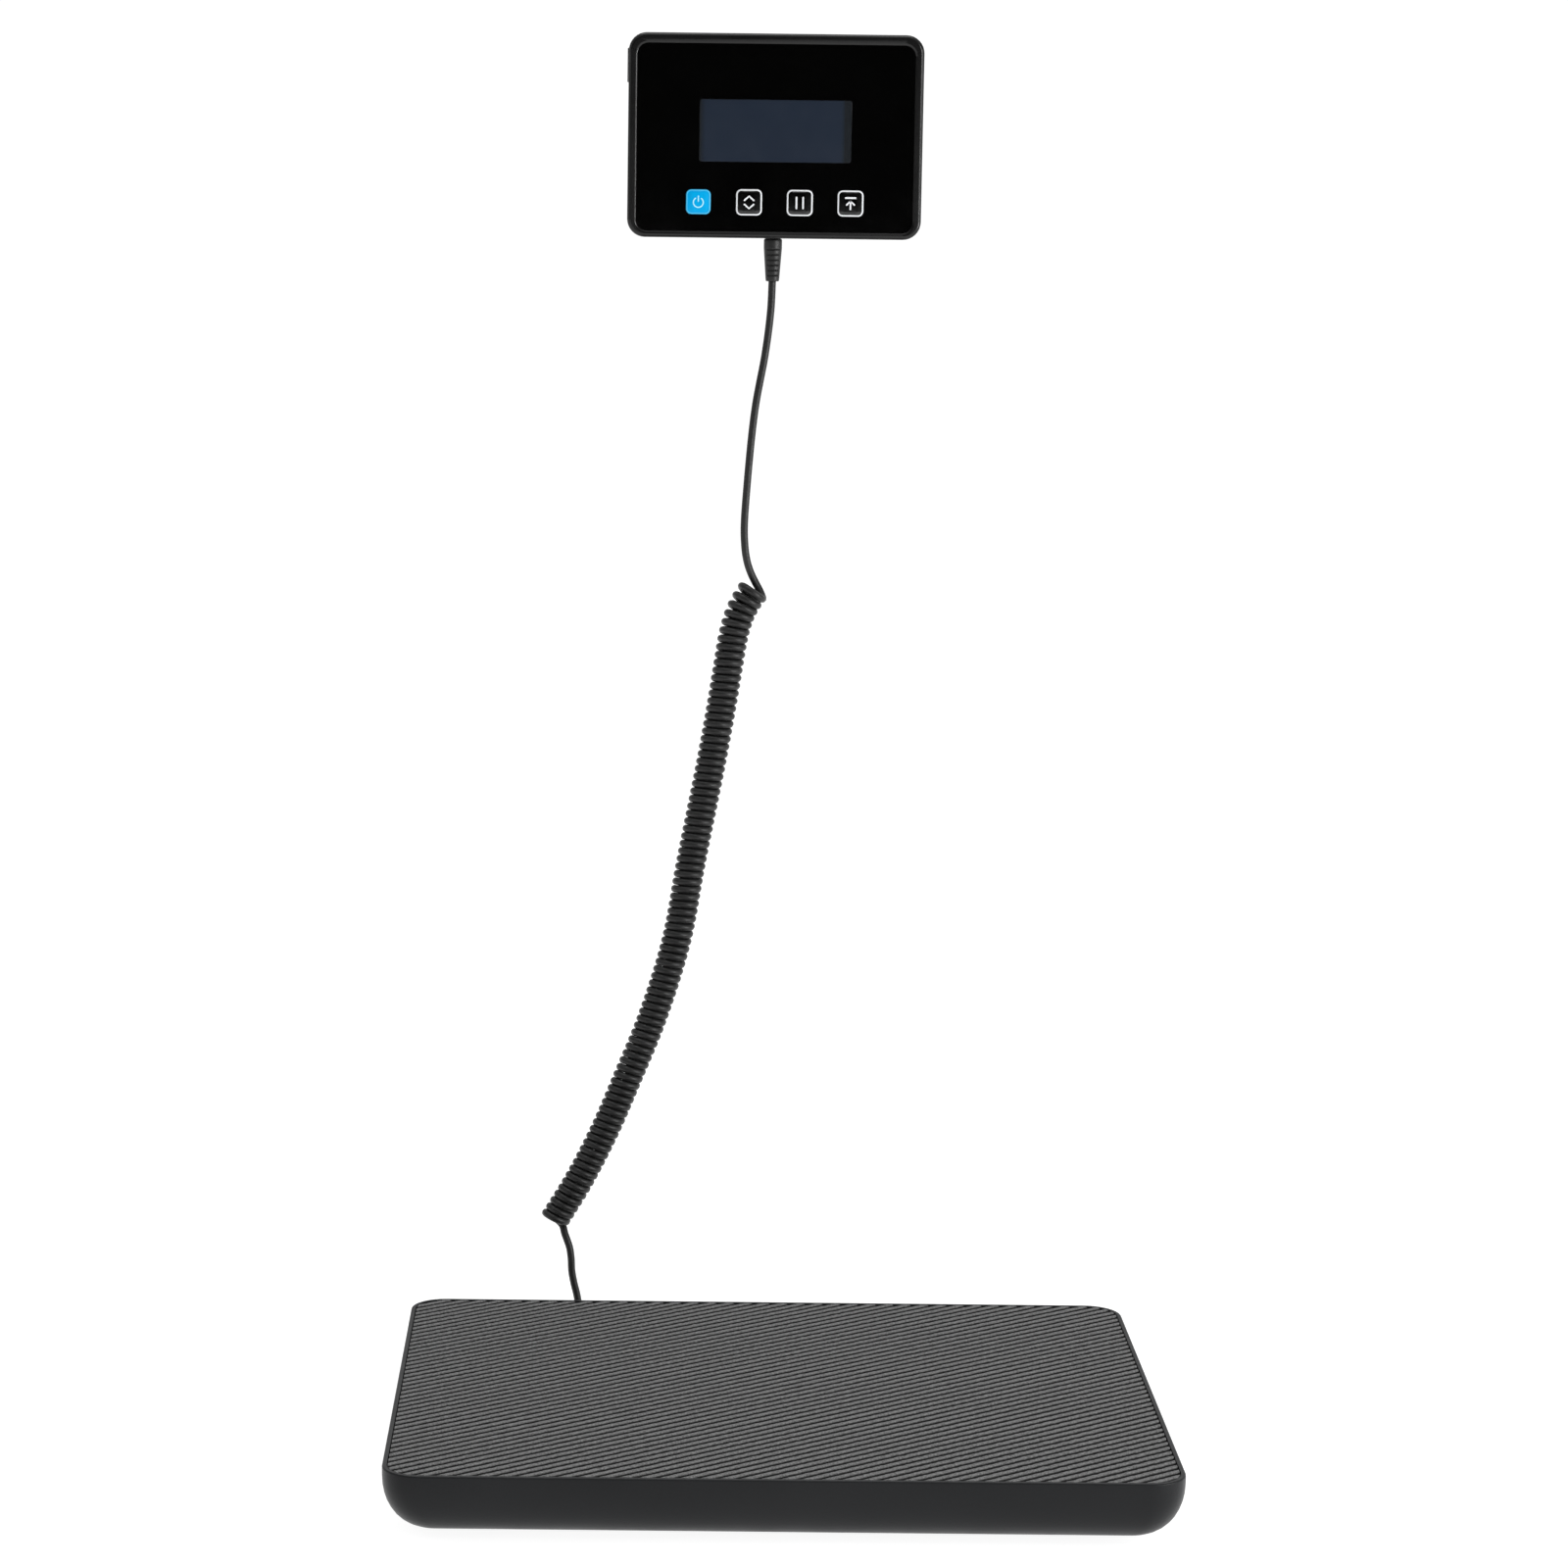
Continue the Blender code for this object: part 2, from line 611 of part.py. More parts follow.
def make_stiffener(paint, parent):
    """A steel plate under the deck, with a stiffening frame and notches round the posts."""
    width = PLATFORM_WIDTH - 2 * STIFFENER_EDGE
    depth = PLATFORM_DEPTH - 2 * STIFFENER_EDGE
    outer = (width - 2 * STIFFENER_RIB_INSET, depth - 2 * STIFFENER_RIB_INSET)
    inner = [side - 2 * STIFFENER_RIB_WIDTH for side in outer]
    rib = tube_ring(
        rounded(*outer, CORNER_RADIUS),
        rounded(*inner, CORNER_RADIUS - STIFFENER_RIB_WIDTH / 2),
        STIFFENER_BOTTOM - STIFFENER_RIB_HEIGHT,
        STIFFENER_BOTTOM + OVERLAP,
    )
    notches = [
        prism(
            circle(POST_RADIUS + POST_PLAY, x, y, SMALL_ROUND_STEPS),
            STIFFENER_BOTTOM - PAST,
            STIFFENER_TOP + PAST,
        )
        for x, y in POST_PLACES
    ]
    plate = prism(rounded(width, depth, CORNER_RADIUS / 2), STIFFENER_BOTTOM, STIFFENER_TOP)
    solid("stiffener_plate", plate, paint, parent, joined=[rib], cut=[gather(notches)])


def make_load_cell(name, paint, parent, place):
    """A bending plate: a rim that carries the deck and a tongue that rests on the foot."""
    half = CELL_SIDE / 2
    arm = CELL_TONGUE_WIDTH / 2
    back = half - 2 * CELL_RIM_WIDTH
    front = CELL_RIM_WIDTH - half
    slot = [
        (arm + CELL_SLOT_WIDTH, back),
        (arm, back),
        (arm, front + CELL_SLOT_WIDTH),
        (-arm, front + CELL_SLOT_WIDTH),
        (-arm, back),
        (-arm - CELL_SLOT_WIDTH, back),
        (-arm - CELL_SLOT_WIDTH, front),
        (arm + CELL_SLOT_WIDTH, front),
    ]
    plate_top = CELL_BOTTOM + CELL_PLATE
    hollow = CELL_SIDE - 2 * CELL_RIM_WIDTH
    cell = prism(rounded(CELL_SIDE, CELL_SIDE, CELL_CORNER, steps=2), CELL_BOTTOM, CELL_TOP)
    recess = prism(rounded(hollow, hollow, CELL_CORNER / 2, steps=2), plate_top, CELL_TOP + PAST)
    slot_cut = prism(slot, CELL_BOTTOM - PAST, plate_top + PAST)
    solid(name, cell, paint, parent, (*place, 0.0), cut=[recess, slot_cut])


def make_foot(name, paint, parent, place):
    bottom = PAD_THICKNESS + GAP - FOOT_CLEARANCE
    rim_top = bottom + FOOT_RIM_HEIGHT
    profile = [
        (bottom, FOOT_RADIUS - RIM_EDGE),
        (bottom + RIM_EDGE, FOOT_RADIUS),
        (rim_top - RIM_EDGE, FOOT_RADIUS),
        (rim_top, FOOT_RADIUS - RIM_EDGE),
        (rim_top, FOOT_STUD_RADIUS),
        (CELL_BOTTOM - GAP, FOOT_STUD_RADIUS),
    ]
    solid(name, turned(profile), paint, parent, (*place, 0.0))


def make_foot_pad(name, paint, parent, place):
    top = PAD_THICKNESS - FOOT_CLEARANCE
    profile = [
        (-FOOT_CLEARANCE, PAD_RADIUS - RIM_EDGE),
        (RIM_EDGE - FOOT_CLEARANCE, PAD_RADIUS),
        (top, PAD_RADIUS),
    ]
    solid(name, turned(profile), paint, parent, (*place, 0.0))


def make_base_plate(paint, parent):
    standoff_top = BOARD_HEIGHT - GAP
    standoffs = [
        prism(
            circle(POST_RADIUS, BOARD_X + side * BOARD_SIZE[0] / 4, BOARD_Y, SMALL_ROUND_STEPS),
            BASE_THICKNESS - OVERLAP,
            standoff_top,
        )
        for side in (-1, 1)
    ]
    foot_holes = [
        prism(circle(FOOT_RADIUS + FOOT_PLAY, x, y), -PAST, BASE_THICKNESS + PAST) for x, y in FOOT_PLACES
    ]
    screw_holes = [
        prism(circle(SCREW_HOLE, x, y, SMALL_ROUND_STEPS), -PAST, BASE_THICKNESS + PAST)
        for x, y in POST_PLACES
    ]
    plate = prism(opening_outline(OPENING_INSET + BASE_PLAY), 0.0, BASE_THICKNESS)
    solid(
        "base_plate", plate, paint, parent, joined=[gather(standoffs)], cut=[gather(foot_holes + screw_holes)]
    )


def make_base_screw(name, paint, parent, place):
    profile = [
        (-GAP - SCREW_HEAD_HEIGHT, SCREW_HEAD - RIM_EDGE),
        (-GAP - SCREW_HEAD_HEIGHT + RIM_EDGE, SCREW_HEAD),
        (-GAP, SCREW_HEAD),
        (-GAP, SCREW_SHAFT),
        (DECK_UNDERSIDE / 2, SCREW_SHAFT),
    ]
    solid(name, turned(profile, steps=SMALL_ROUND_STEPS), paint, parent, (*place, 0.0))


def make_junction_board(paint, parent):
    """The board that adds up the four load cells, with two lead connectors and a converter chip."""
    half_x, half_y = BOARD_SIZE[0] / 2, BOARD_SIZE[1] / 2
    top = BOARD_HEIGHT + BOARD_THICKNESS
    wide, deep, tall = CONNECTOR_SIZE
    connectors = [
        block(span(side * (half_x - wide / 2), wide), span(CONNECTOR_Y, deep), (top - OVERLAP, top + tall))
        for side in (-1, 1)
    ]
    chip_wide, chip_deep, chip_tall = CONVERTER_SIZE
    chip = block(span(0.0, chip_wide), span(0.0, chip_deep), (top - OVERLAP, top + chip_tall))
    board = block((-half_x, half_x), (-half_y, half_y), (BOARD_HEIGHT, top))
    parts = gather([*connectors, chip])
    solid("junction_board", board, paint, parent, (BOARD_X, BOARD_Y, 0.0), joined=[parts])


def make_sensor_leads(paint, parent):
    """A lead from each load cell's inner edge to the nearest side of the junction board."""
    low = BOARD_HEIGHT + BOARD_THICKNESS + CONNECTOR_SIZE[2] / 2
    start_z = CELL_BOTTOM + CELL_PLATE / 2
    for number, (x, y) in enumerate(FOOT_PLACES, 1):
        side, end = math.copysign(1, x), math.copysign(1, y)
        out = CELL_SIDE / 2 + GAP
        board_end = BOARD_X + side * (BOARD_SIZE[0] / 2 + GAP)
        board_y = BOARD_Y + end * LEAD_FROM_MIDDLE
        points = [
            Vector((x - side * out, y, start_z)),
            Vector((x - side * (out + LEAD_STRAIGHT), y, (start_z + low) / 2 + LEAD_ARCH)),
            Vector((x - side * (out + LEAD_DROP), y - end * LEAD_ARCH, low)),
        ]
        if end < 0:
            points.append(Vector(((x + board_end) / 2 + side * 2 * LEAD_STRAIGHT, y / 3, low)))
        points.append(Vector((board_end + side * LEAD_STRAIGHT, board_y, low)))
        points.append(Vector((board_end, board_y, low)))
        curve = spline(points)
        route = stretch(curve, 0.0, run_lengths(curve)[-1], LEAD_SPACING)
        tube(f"sensor_lead_{number}", route, LEAD_RADIUS, paint, parent, roundness=1)


def make_gland(paint, parent):
    """A rubber strain relief in the back wall: inner flange, neck, collar and tapered boot."""
    neck = GLAND_BORE - GAP
    flange_back = HALF_DEPTH - GLAND_FLANGE_INSET
    collar_front = HALF_DEPTH - GAP
    collar_back = collar_front + GLAND_COLLAR_LENGTH
    profile = [
        (flange_back - GLAND_FLANGE_LENGTH, GLAND_COLLAR_RADIUS),
        (flange_back, GLAND_COLLAR_RADIUS),
        (flange_back, neck),
        (collar_front, neck),
        (collar_front, GLAND_COLLAR_RADIUS),
        (collar_back, GLAND_COLLAR_RADIUS),
        (collar_back, GLAND_BOOT_RADII[0]),
        (collar_back + GLAND_BOOT_LENGTH, GLAND_BOOT_RADII[1]),
    ]
    solid("cable_gland", turned(profile, "Y", (GLAND_X, GLAND_HEIGHT), 16), paint, parent)


def make_platform(paints, parent):
    make_housing(paints["charcoal"], parent)
    make_mat(paints["rubber"], parent)
    make_stiffener(paints["steel"], parent)
    make_base_plate(paints["dark_plastic"], parent)
    for number, place in enumerate(FOOT_PLACES, 1):
        make_load_cell(f"load_cell_{number}", paints["cell_metal"], parent, place)
        make_foot(f"foot_{number}", paints["dark_plastic"], parent, place)
        make_foot_pad(f"foot_pad_{number}", paints["rubber"], parent, place)
    for number, place in enumerate(POST_PLACES, 1):
        make_base_screw(f"base_screw_{number}", paints["screw"], parent, place)
    make_junction_board(paints["board"], parent)
    make_sensor_leads(paints["lead"], parent)
    make_gland(paints["cord"], parent)


# ---------------------------------------------------------------- display


def shell_outline(inset):
    return rounded(DISPLAY_WIDTH - 2 * inset, DISPLAY_HEIGHT - 2 * inset, DISPLAY_CORNER - inset)


def fillet_levels(low, high, inset_low, inset_high):
    """Shell outlines along a quarter-round edge between two depths."""
    levels = []
    for step in range(FILLET_STEPS + 1):
        angle = math.pi / 2 * step / FILLET_STEPS
        if inset_low > inset_high:
            inset = inset_low * (1 - math.sin(angle))
            depth = low + (high - low) * (1 - math.cos(angle))
        else:
            inset = inset_high * (1 - math.cos(angle))
            depth = low + (high - low) * math.sin(angle)
        levels.append((depth, shell_outline(inset)))
    return levels


def panel_outline(inset):
    return rounded(
        PANEL_WIDTH - 2 * inset, PANEL_HEIGHT - 2 * inset, PANEL_CORNER - inset, 0.0, PANEL_CENTRE_Z
    )


def make_front(paint, parent):
    """The front shell: a bezel round the panel, a ledge behind it and four screw posts."""
    outer = fillet_levels(0.0, FRONT_FILLET, FRONT_FILLET, 0.0) + [(FRONT_DEPTH, shell_outline(0.0))]
    posts = [
        prism(circle(DISPLAY_POST, x, z, SMALL_ROUND_STEPS), LEDGE_BACK - OVERLAP, FRONT_DEPTH, "Y")
        for x, z in SCREW_PLACES
    ]
    holes = [
        prism(circle(SCREW_HOLE, x, z, SMALL_ROUND_STEPS), LEDGE_BACK + OVERLAP, FRONT_DEPTH + PAST, "Y")
        for x, z in SCREW_PLACES
    ]
    slope = panel_outline(-GAP - PANEL_CHAMFER)
    seat = panel_outline(-GAP)
    recess = [(-PAST, slope), (0.0, slope), (PANEL_SINK - OVERLAP / 2, seat), (LEDGE_FRONT, seat)]
    front = solid("display_front", loft(outer, "Y"), paint, parent)
    combine(front, loft(recess, "Y"), "DIFFERENCE")
    combine(front, prism(panel_outline(PANEL_LEDGE), -PAST, FRONT_DEPTH, "Y"), "DIFFERENCE")
    combine(front, prism(shell_outline(DISPLAY_WALL), LEDGE_BACK, FRONT_DEPTH + PAST, "Y"), "DIFFERENCE")
    combine(front, gather(posts), "UNION")
    combine(front, gather(holes), "DIFFERENCE")
    combine(front, plug_hole(), "DIFFERENCE")


def plug_hole():
    """The hole in the shells' lower wall, half in each shell."""
    return turned(
        [(DISPLAY_BOTTOM - PAST, PLUG_HOLE), (DISPLAY_BOTTOM + DISPLAY_WALL + PAST, PLUG_HOLE)],
        centre=(0.0, PLUG_Y),
        steps=16,
    )


def key_side(name):
    return POWER_KEY_SIDE if name == "power" else KEY_SIDE


def make_panel(paint, parent):
    window = rounded(WINDOW_WIDTH, WINDOW_HEIGHT, WINDOW_CORNER, 0.0, WINDOW_Z)
    holes = [prism(window, -PAST, PANEL_BACK + PAST, "Y")]
    for name, x in zip(KEY_NAMES, KEY_PLACES):
        side = key_side(name) + 2 * KEY_PLAY
        outline = rounded(side, side, KEY_CORNER + KEY_PLAY, x, KEY_Z)
        holes.append(prism(outline, -PAST, PANEL_BACK + PAST, "Y"))
    panel = prism(panel_outline(0.0), PANEL_SINK, PANEL_BACK, "Y")
    solid("front_panel", panel, paint, parent, cut=[gather(holes)])


def make_lcd(paints, parent):
    """The liquid crystal module, whose face fills the window, and the backlight behind it."""
    face = rounded(WINDOW_WIDTH - 2 * KEY_PLAY, WINDOW_HEIGHT - 2 * KEY_PLAY, WINDOW_CORNER, 0.0, WINDOW_Z)
    flange = rounded(
        WINDOW_WIDTH + 2 * LCD_FLANGE, WINDOW_HEIGHT + 2 * LCD_FLANGE, WINDOW_CORNER, 0.0, WINDOW_Z
    )
    step = PANEL_BACK + GAP
    levels = [(LCD_FRONT, face), (step, face), (step, flange), (LCD_BACK, flange)]
    solid("lcd_module", loft(levels, "Y"), paints["lcd"], parent)
    back = prism(flange, BACKLIGHT_FRONT, BACKLIGHT_BACK, "Y")
    solid("lcd_backlight", back, paints["diffuser"], parent)


def make_key(name, x, paint, parent):
    """A square key with a rounded face, held behind the panel by its flange."""
    side = key_side(name)
    flange_side = side + 2 * KEY_FLANGE
    cap = rounded(side, side, KEY_CORNER)
    edge = rounded(side - 2 * KEY_EDGE, side - 2 * KEY_EDGE, KEY_CORNER - KEY_EDGE)
    flange = rounded(flange_side, flange_side, KEY_CORNER)
    step = PANEL_BACK + GAP
    levels = [(KEY_FRONT, edge), (KEY_FRONT + KEY_EDGE, cap), (step, cap), (step, flange), (KEY_BACK, flange)]
    solid(f"key_{name}", loft(levels, "Y"), paint, parent, (x, 0.0, KEY_Z))


def make_dome_sheet(paint, parent):
    """One silicone sheet with a dome behind each key."""
    width = KEY_PLACES[-1] - KEY_PLACES[0] + 2 * DOME_SHEET_MARGIN
    sheet = prism(
        rounded(width, 2 * DOME_SHEET_MARGIN, DOME_SHEET_CORNER, 0.0, KEY_Z),
        DOME_SHEET_FRONT,
        DOME_SHEET_FRONT + DOME_SHEET_THICKNESS,
        "Y",
    )
    domes = [
        turned(
            [(DOME_TOP, DOME_RADII[1]), (DOME_SHEET_FRONT + OVERLAP, DOME_RADII[0])], "Y", (x, KEY_Z), 16
        )
        for x in KEY_PLACES
    ]
    solid("dome_sheet", sheet, paint, parent, joined=[gather(domes)])


def make_main_board(paint, parent):
    back = MAIN_BOARD_BACK
    chips = [
        block(span(x, width), (back - OVERLAP, back + CHIP_HEIGHT), span(z, height))
        for x, z, width, height in MAIN_CHIPS
    ]
    board = prism(rounded(*MAIN_BOARD_SIZE, BOARD_CORNER, steps=2), MAIN_BOARD_FRONT, back, "Y")
    solid("main_board", board, paint, parent, joined=[gather(chips)])


def make_jack(paints, parent):
    """Socket on the board, plug pin in it, and the moulded boot under the display."""
    width, depth, height = SOCKET_SIZE
    bottom = DISPLAY_BOTTOM + DISPLAY_WALL + GAP
    socket = block(
        (-width / 2, width / 2), (PLUG_Y - depth / 2, PLUG_Y + depth / 2), (bottom, bottom + height)
    )
    centre = (0.0, PLUG_Y)
    boot_top = DISPLAY_BOTTOM - GAP
    pin_bottom = boot_top + GAP
    pin_top = pin_bottom + PIN_LENGTH
    bore = turned([(bottom - PAST, SOCKET_BORE), (pin_top + GAP, SOCKET_BORE)], centre=centre, steps=16)
    solid("jack_socket", socket, paints["dark_plastic"], parent, cut=[bore])
    tip = PIN_RADIUS * 0.5
    pin = [(pin_bottom, PIN_RADIUS), (pin_top - PIN_RADIUS, PIN_RADIUS), (pin_top, tip)]
    solid("jack_pin", turned(pin, centre=centre, steps=16), paints["steel"], parent)
    boot = [
        (boot_top, BOOT_RADII[0] - RIM_EDGE / 2),
        (boot_top - RIM_EDGE / 2, BOOT_RADII[0]),
        (boot_top - BOOT_COLLAR, BOOT_RADII[0]),
        (boot_top - BOOT_LENGTH, BOOT_RADII[1]),
    ]
    solid("plug_boot", turned(boot, centre=centre), paints["cord"], parent)


def door_outline(play):
    width = BAY_WIDTH + 2 * (DOOR_LEDGE - play)
    height = BAY_HEIGHT + 2 * (DOOR_LEDGE - play)
    return rounded(width, height, DOOR_CORNER, 0.0, BAY_Z, steps=3)


def tab_span(side, play):
    return span(side * DOOR_TAB_X, DOOR_TAB_WIDTH + 2 * play)


def make_back(paint, parent):
    """The back shell: battery bay, door recess, screw posts and two slots for the wall hooks."""
    outer = [(BACK_FRONT, shell_outline(0.0))]
    outer += fillet_levels(DISPLAY_DEPTH - BACK_FILLET, DISPLAY_DEPTH, 0.0, BACK_FILLET)
    bay_outer = rounded(
        BAY_WIDTH + 2 * BAY_WALL, BAY_HEIGHT + 2 * BAY_WALL, DOOR_CORNER, 0.0, BAY_Z, steps=3
    )
    bay_inner = rounded(BAY_WIDTH, BAY_HEIGHT, DOOR_CORNER / 2, 0.0, BAY_Z, steps=3)
    posts = [
        prism(circle(DISPLAY_POST + GAP, x, z, SMALL_ROUND_STEPS), BACK_FRONT, BACK_WALL_FRONT + OVERLAP, "Y")
        for x, z in SCREW_PLACES
    ]
    bay = prism(bay_outer, BAY_FRONT - BAY_FLOOR, BACK_WALL_FRONT + OVERLAP, "Y")
    bore_front = DISPLAY_DEPTH - COUNTERBORE_DEPTH
    holes = [
        turned(
            [
                (BACK_FRONT - PAST, SCREW_HOLE),
                (bore_front, SCREW_HOLE),
                (bore_front, SCREW_HEAD + GAP),
                (DISPLAY_DEPTH + PAST, SCREW_HEAD + GAP),
            ],
            "Y",
            place,
            SMALL_ROUND_STEPS,
        )
        for place in SCREW_PLACES
    ]
    swing = math.hypot(DOOR_THICKNESS + DOOR_TAB_DEPTH, DOOR_TAB_REACH) + GAP
    notches = [
        block(
            tab_span(side, GAP),
            (DISPLAY_DEPTH - swing, DOOR_FRONT),
            (DOOR_BOTTOM - DOOR_TAB_REACH - GAP, DOOR_BOTTOM + swing),
        )
        for side in (-1, 1)
    ]
    neck_top = HOOK_Z + HOOK_NECK / 2
    slots = [
        block(
            span(side * HOOK_X, HOOK_WIDTH + 2 * HOOK_PLAY),
            (BACK_WALL_FRONT - PAST, DISPLAY_DEPTH + PAST),
            (HOOK_Z - HOOK_NECK / 2 - LIFT_TRAVEL - HOOK_PLAY, neck_top + GAP),
        )
        for side in (-1, 1)
    ]
    pad_side = -DISPLAY_WIDTH / 2
    pad_y = (BACK_FRONT + DISPLAY_DEPTH - BACK_FILLET) / 2
    pad = [
        (x, rounded(SIDE_PAD_DEPTH - 2 * inset, SIDE_PAD_HEIGHT - 2 * inset, RIM_EDGE, pad_y, SIDE_PAD_Z))
        for x, inset in (
            (pad_side - SIDE_PAD_PROUD, SIDE_PAD_PROUD / 2),
            (pad_side - SIDE_PAD_PROUD / 2, 0.0),
            (pad_side + OVERLAP, 0.0),
        )
    ]
    back = solid("display_back", loft(outer, "Y"), paint, parent, joined=[loft(pad, "X")])
    combine(back, prism(shell_outline(DISPLAY_WALL), BACK_FRONT - PAST, BACK_WALL_FRONT, "Y"), "DIFFERENCE")
    combine(back, gather([bay, *posts]), "UNION")
    combine(back, prism(bay_inner, BAY_FRONT, DISPLAY_DEPTH + PAST, "Y"), "DIFFERENCE")
    combine(back, prism(door_outline(0.0), DOOR_FRONT - GAP, DISPLAY_DEPTH + PAST, "Y"), "DIFFERENCE")
    combine(back, gather([*holes, *slots]), "DIFFERENCE")
    combine(back, gather(notches), "DIFFERENCE")
    combine(back, plug_hole(), "DIFFERENCE")


def make_door(paint, parent):
    """The battery door, whose origin is on its hinge line along the lower outer edge."""
    hinge = frame("door_hinge", (0.0, DISPLAY_DEPTH, DOOR_BOTTOM), parent)
    outline = [(x, z - DOOR_BOTTOM) for x, z in door_outline(GAP)]
    inner = -DOOR_THICKNESS - DOOR_TAB_DEPTH
    roots = [
        block(tab_span(side, 0.0), (inner, OVERLAP - DOOR_THICKNESS), (GAP, DOOR_TAB_ROOT))
        for side in (-1, 1)
    ]
    tongues = [
        block(tab_span(side, 0.0), (inner, inner + DOOR_TAB_THICKNESS), (-DOOR_TAB_REACH, GAP + OVERLAP))
        for side in (-1, 1)
    ]
    door = prism(outline, -DOOR_THICKNESS, 0.0, "Y")
    solid("battery_door", door, paint, hinge, joined=[gather(roots), gather(tongues)])


def make_battery(name, paint, parent, place, turn):
    """A cell with its button end towards +X, or towards -X where turn is -1."""
    nub_radius, nub_length = BATTERY_NUB
    half = BATTERY_LENGTH / 2
    edge = RIM_EDGE
    profile = [
        (-half, BATTERY_RADIUS - edge),
        (-half + edge, BATTERY_RADIUS),
        (half - nub_length - edge, BATTERY_RADIUS),
        (half - nub_length, BATTERY_RADIUS - edge),
        (half - nub_length, nub_radius),
        (half, nub_radius),
    ]
    profile = [(turn * height, radius) for height, radius in profile]
    solid(name, turned(profile, "X", steps=16), paint, parent, place)


def make_spring(name, paint, parent, place, turn, length):
    """A coil spring along X, from its contact plate to the flat end of a cell."""
    count = 12 * SPRING_TURNS
    points = []
    for step in range(count + 1):
        share = step / count
        angle = 2 * math.pi * SPRING_TURNS * share
        along = turn * (SPRING_WIRE + (length - 2 * SPRING_WIRE) * share)
        points.append(Vector((along, SPRING_RADIUS * math.cos(angle), SPRING_RADIUS * math.sin(angle))))
    spring = tube(name, points, SPRING_WIRE, paint, parent, roundness=1)
    spring.location = place


def make_power_pack(paints, parent):
    """Three cells side by side, contact plates at both ends, and a spring at each flat end."""
    y = BAY_FRONT + GAP + BATTERY_RADIUS
    contact = BAY_WIDTH / 2 - GAP - CONTACT_THICKNESS
    dimple = contact - BATTERY_LENGTH / 2 - GAP
    height = BAY_HEIGHT - 2 * DOOR_CORNER
    dimples = {-1: [], 1: []}
    for number in (1, 2, 3):
        turn = -1 if number == 2 else 1
        z = BAY_Z + (number - 2) * BATTERY_PITCH
        make_battery(f"battery_{number}", paints["battery"], parent, (0.0, y, z), turn)
        base = -turn * (contact - GAP)
        make_spring(f"battery_spring_{number}", paints["steel"], parent, (base, y, z), turn, dimple - GAP)
        ends = sorted((turn * (contact + OVERLAP / 2), turn * (contact - dimple)))
        dimples[turn].append(
            turned([(end, CONTACT_DIMPLE) for end in ends], "X", (y, z), SMALL_ROUND_STEPS)
        )
    for name, side in (("left", -1), ("right", 1)):
        plate = block(
            sorted((side * contact, side * (contact + CONTACT_THICKNESS))),
            (y - CONTACT_DEPTH / 2, y + CONTACT_DEPTH / 2),
            (BAY_Z - height / 2, BAY_Z + height / 2),
        )
        solid(f"battery_contact_{name}", plate, paints["steel"], parent, joined=[gather(dimples[side])])


def make_display_screw(name, paint, parent, place):
    head_front = DISPLAY_DEPTH - COUNTERBORE_DEPTH + GAP
    profile = [
        (LEDGE_BACK + OVERLAP + GAP, SCREW_SHAFT),
        (head_front, SCREW_SHAFT),
        (head_front, SCREW_HEAD),
        (head_front + SCREW_HEAD_HEIGHT - RIM_EDGE, SCREW_HEAD),
        (head_front + SCREW_HEAD_HEIGHT, SCREW_HEAD - RIM_EDGE),
    ]
    x, z = place
    solid(name, turned(profile, "Y", steps=SMALL_ROUND_STEPS), paint, parent, (x, 0.0, z))


def make_bracket(paint, parent):
    """The wall bracket: a plate with two screw holes and two upturned hooks."""
    neck = (HOOK_Z - HOOK_NECK / 2, HOOK_Z + HOOK_NECK / 2)
    tip_back = BACK_WALL_FRONT - GAP
    widths = [span(side * HOOK_X, HOOK_WIDTH) for side in (-1, 1)]
    necks = [block(width, (tip_back - HOOK_TIP, BRACKET_FRONT + OVERLAP), neck) for width in widths]
    tips = [block(width, (tip_back - HOOK_TIP, tip_back), (neck[0], neck[1] + HOOK_RISE)) for width in widths]
    wall_holes = [
        turned(
            [(BRACKET_FRONT - PAST, BRACKET_HOLE), (BRACKET_BACK + PAST, BRACKET_HOLE)],
            "Y",
            (0.0, BRACKET_Z + end * BRACKET_HEIGHT / 4),
            16,
        )
        for end in (-1, 1)
    ]
    plate = prism(
        rounded(BRACKET_WIDTH, BRACKET_HEIGHT, BRACKET_CORNER, 0.0, BRACKET_Z),
        BRACKET_FRONT,
        BRACKET_BACK,
        "Y",
    )
    joined = [gather(necks), gather(tips)]
    solid("wall_bracket", plate, paint, parent, joined=joined, cut=[gather(wall_holes)])


def make_display(paints, parent):
    make_front(paints["bezel"], parent)
    make_panel(paints["panel"], parent)
    make_lcd(paints, parent)
    for name, x in zip(KEY_NAMES, KEY_PLACES):
        make_key(name, x, paints["power_key" if name == "power" else "key"], parent)
    make_dome_sheet(paints["silicone"], parent)
    make_main_board(paints["board"], parent)
    make_jack(paints, parent)
    make_back(paints["bezel"], parent)
    make_door(paints["bezel"], parent)
    make_power_pack(paints, parent)
    for number, place in enumerate(SCREW_PLACES, 1):
        make_display_screw(f"display_screw_{number}", paints["screw"], parent, place)
    make_bracket(paints["dark_plastic"], parent)


# ---------------------------------------------------------------- cord


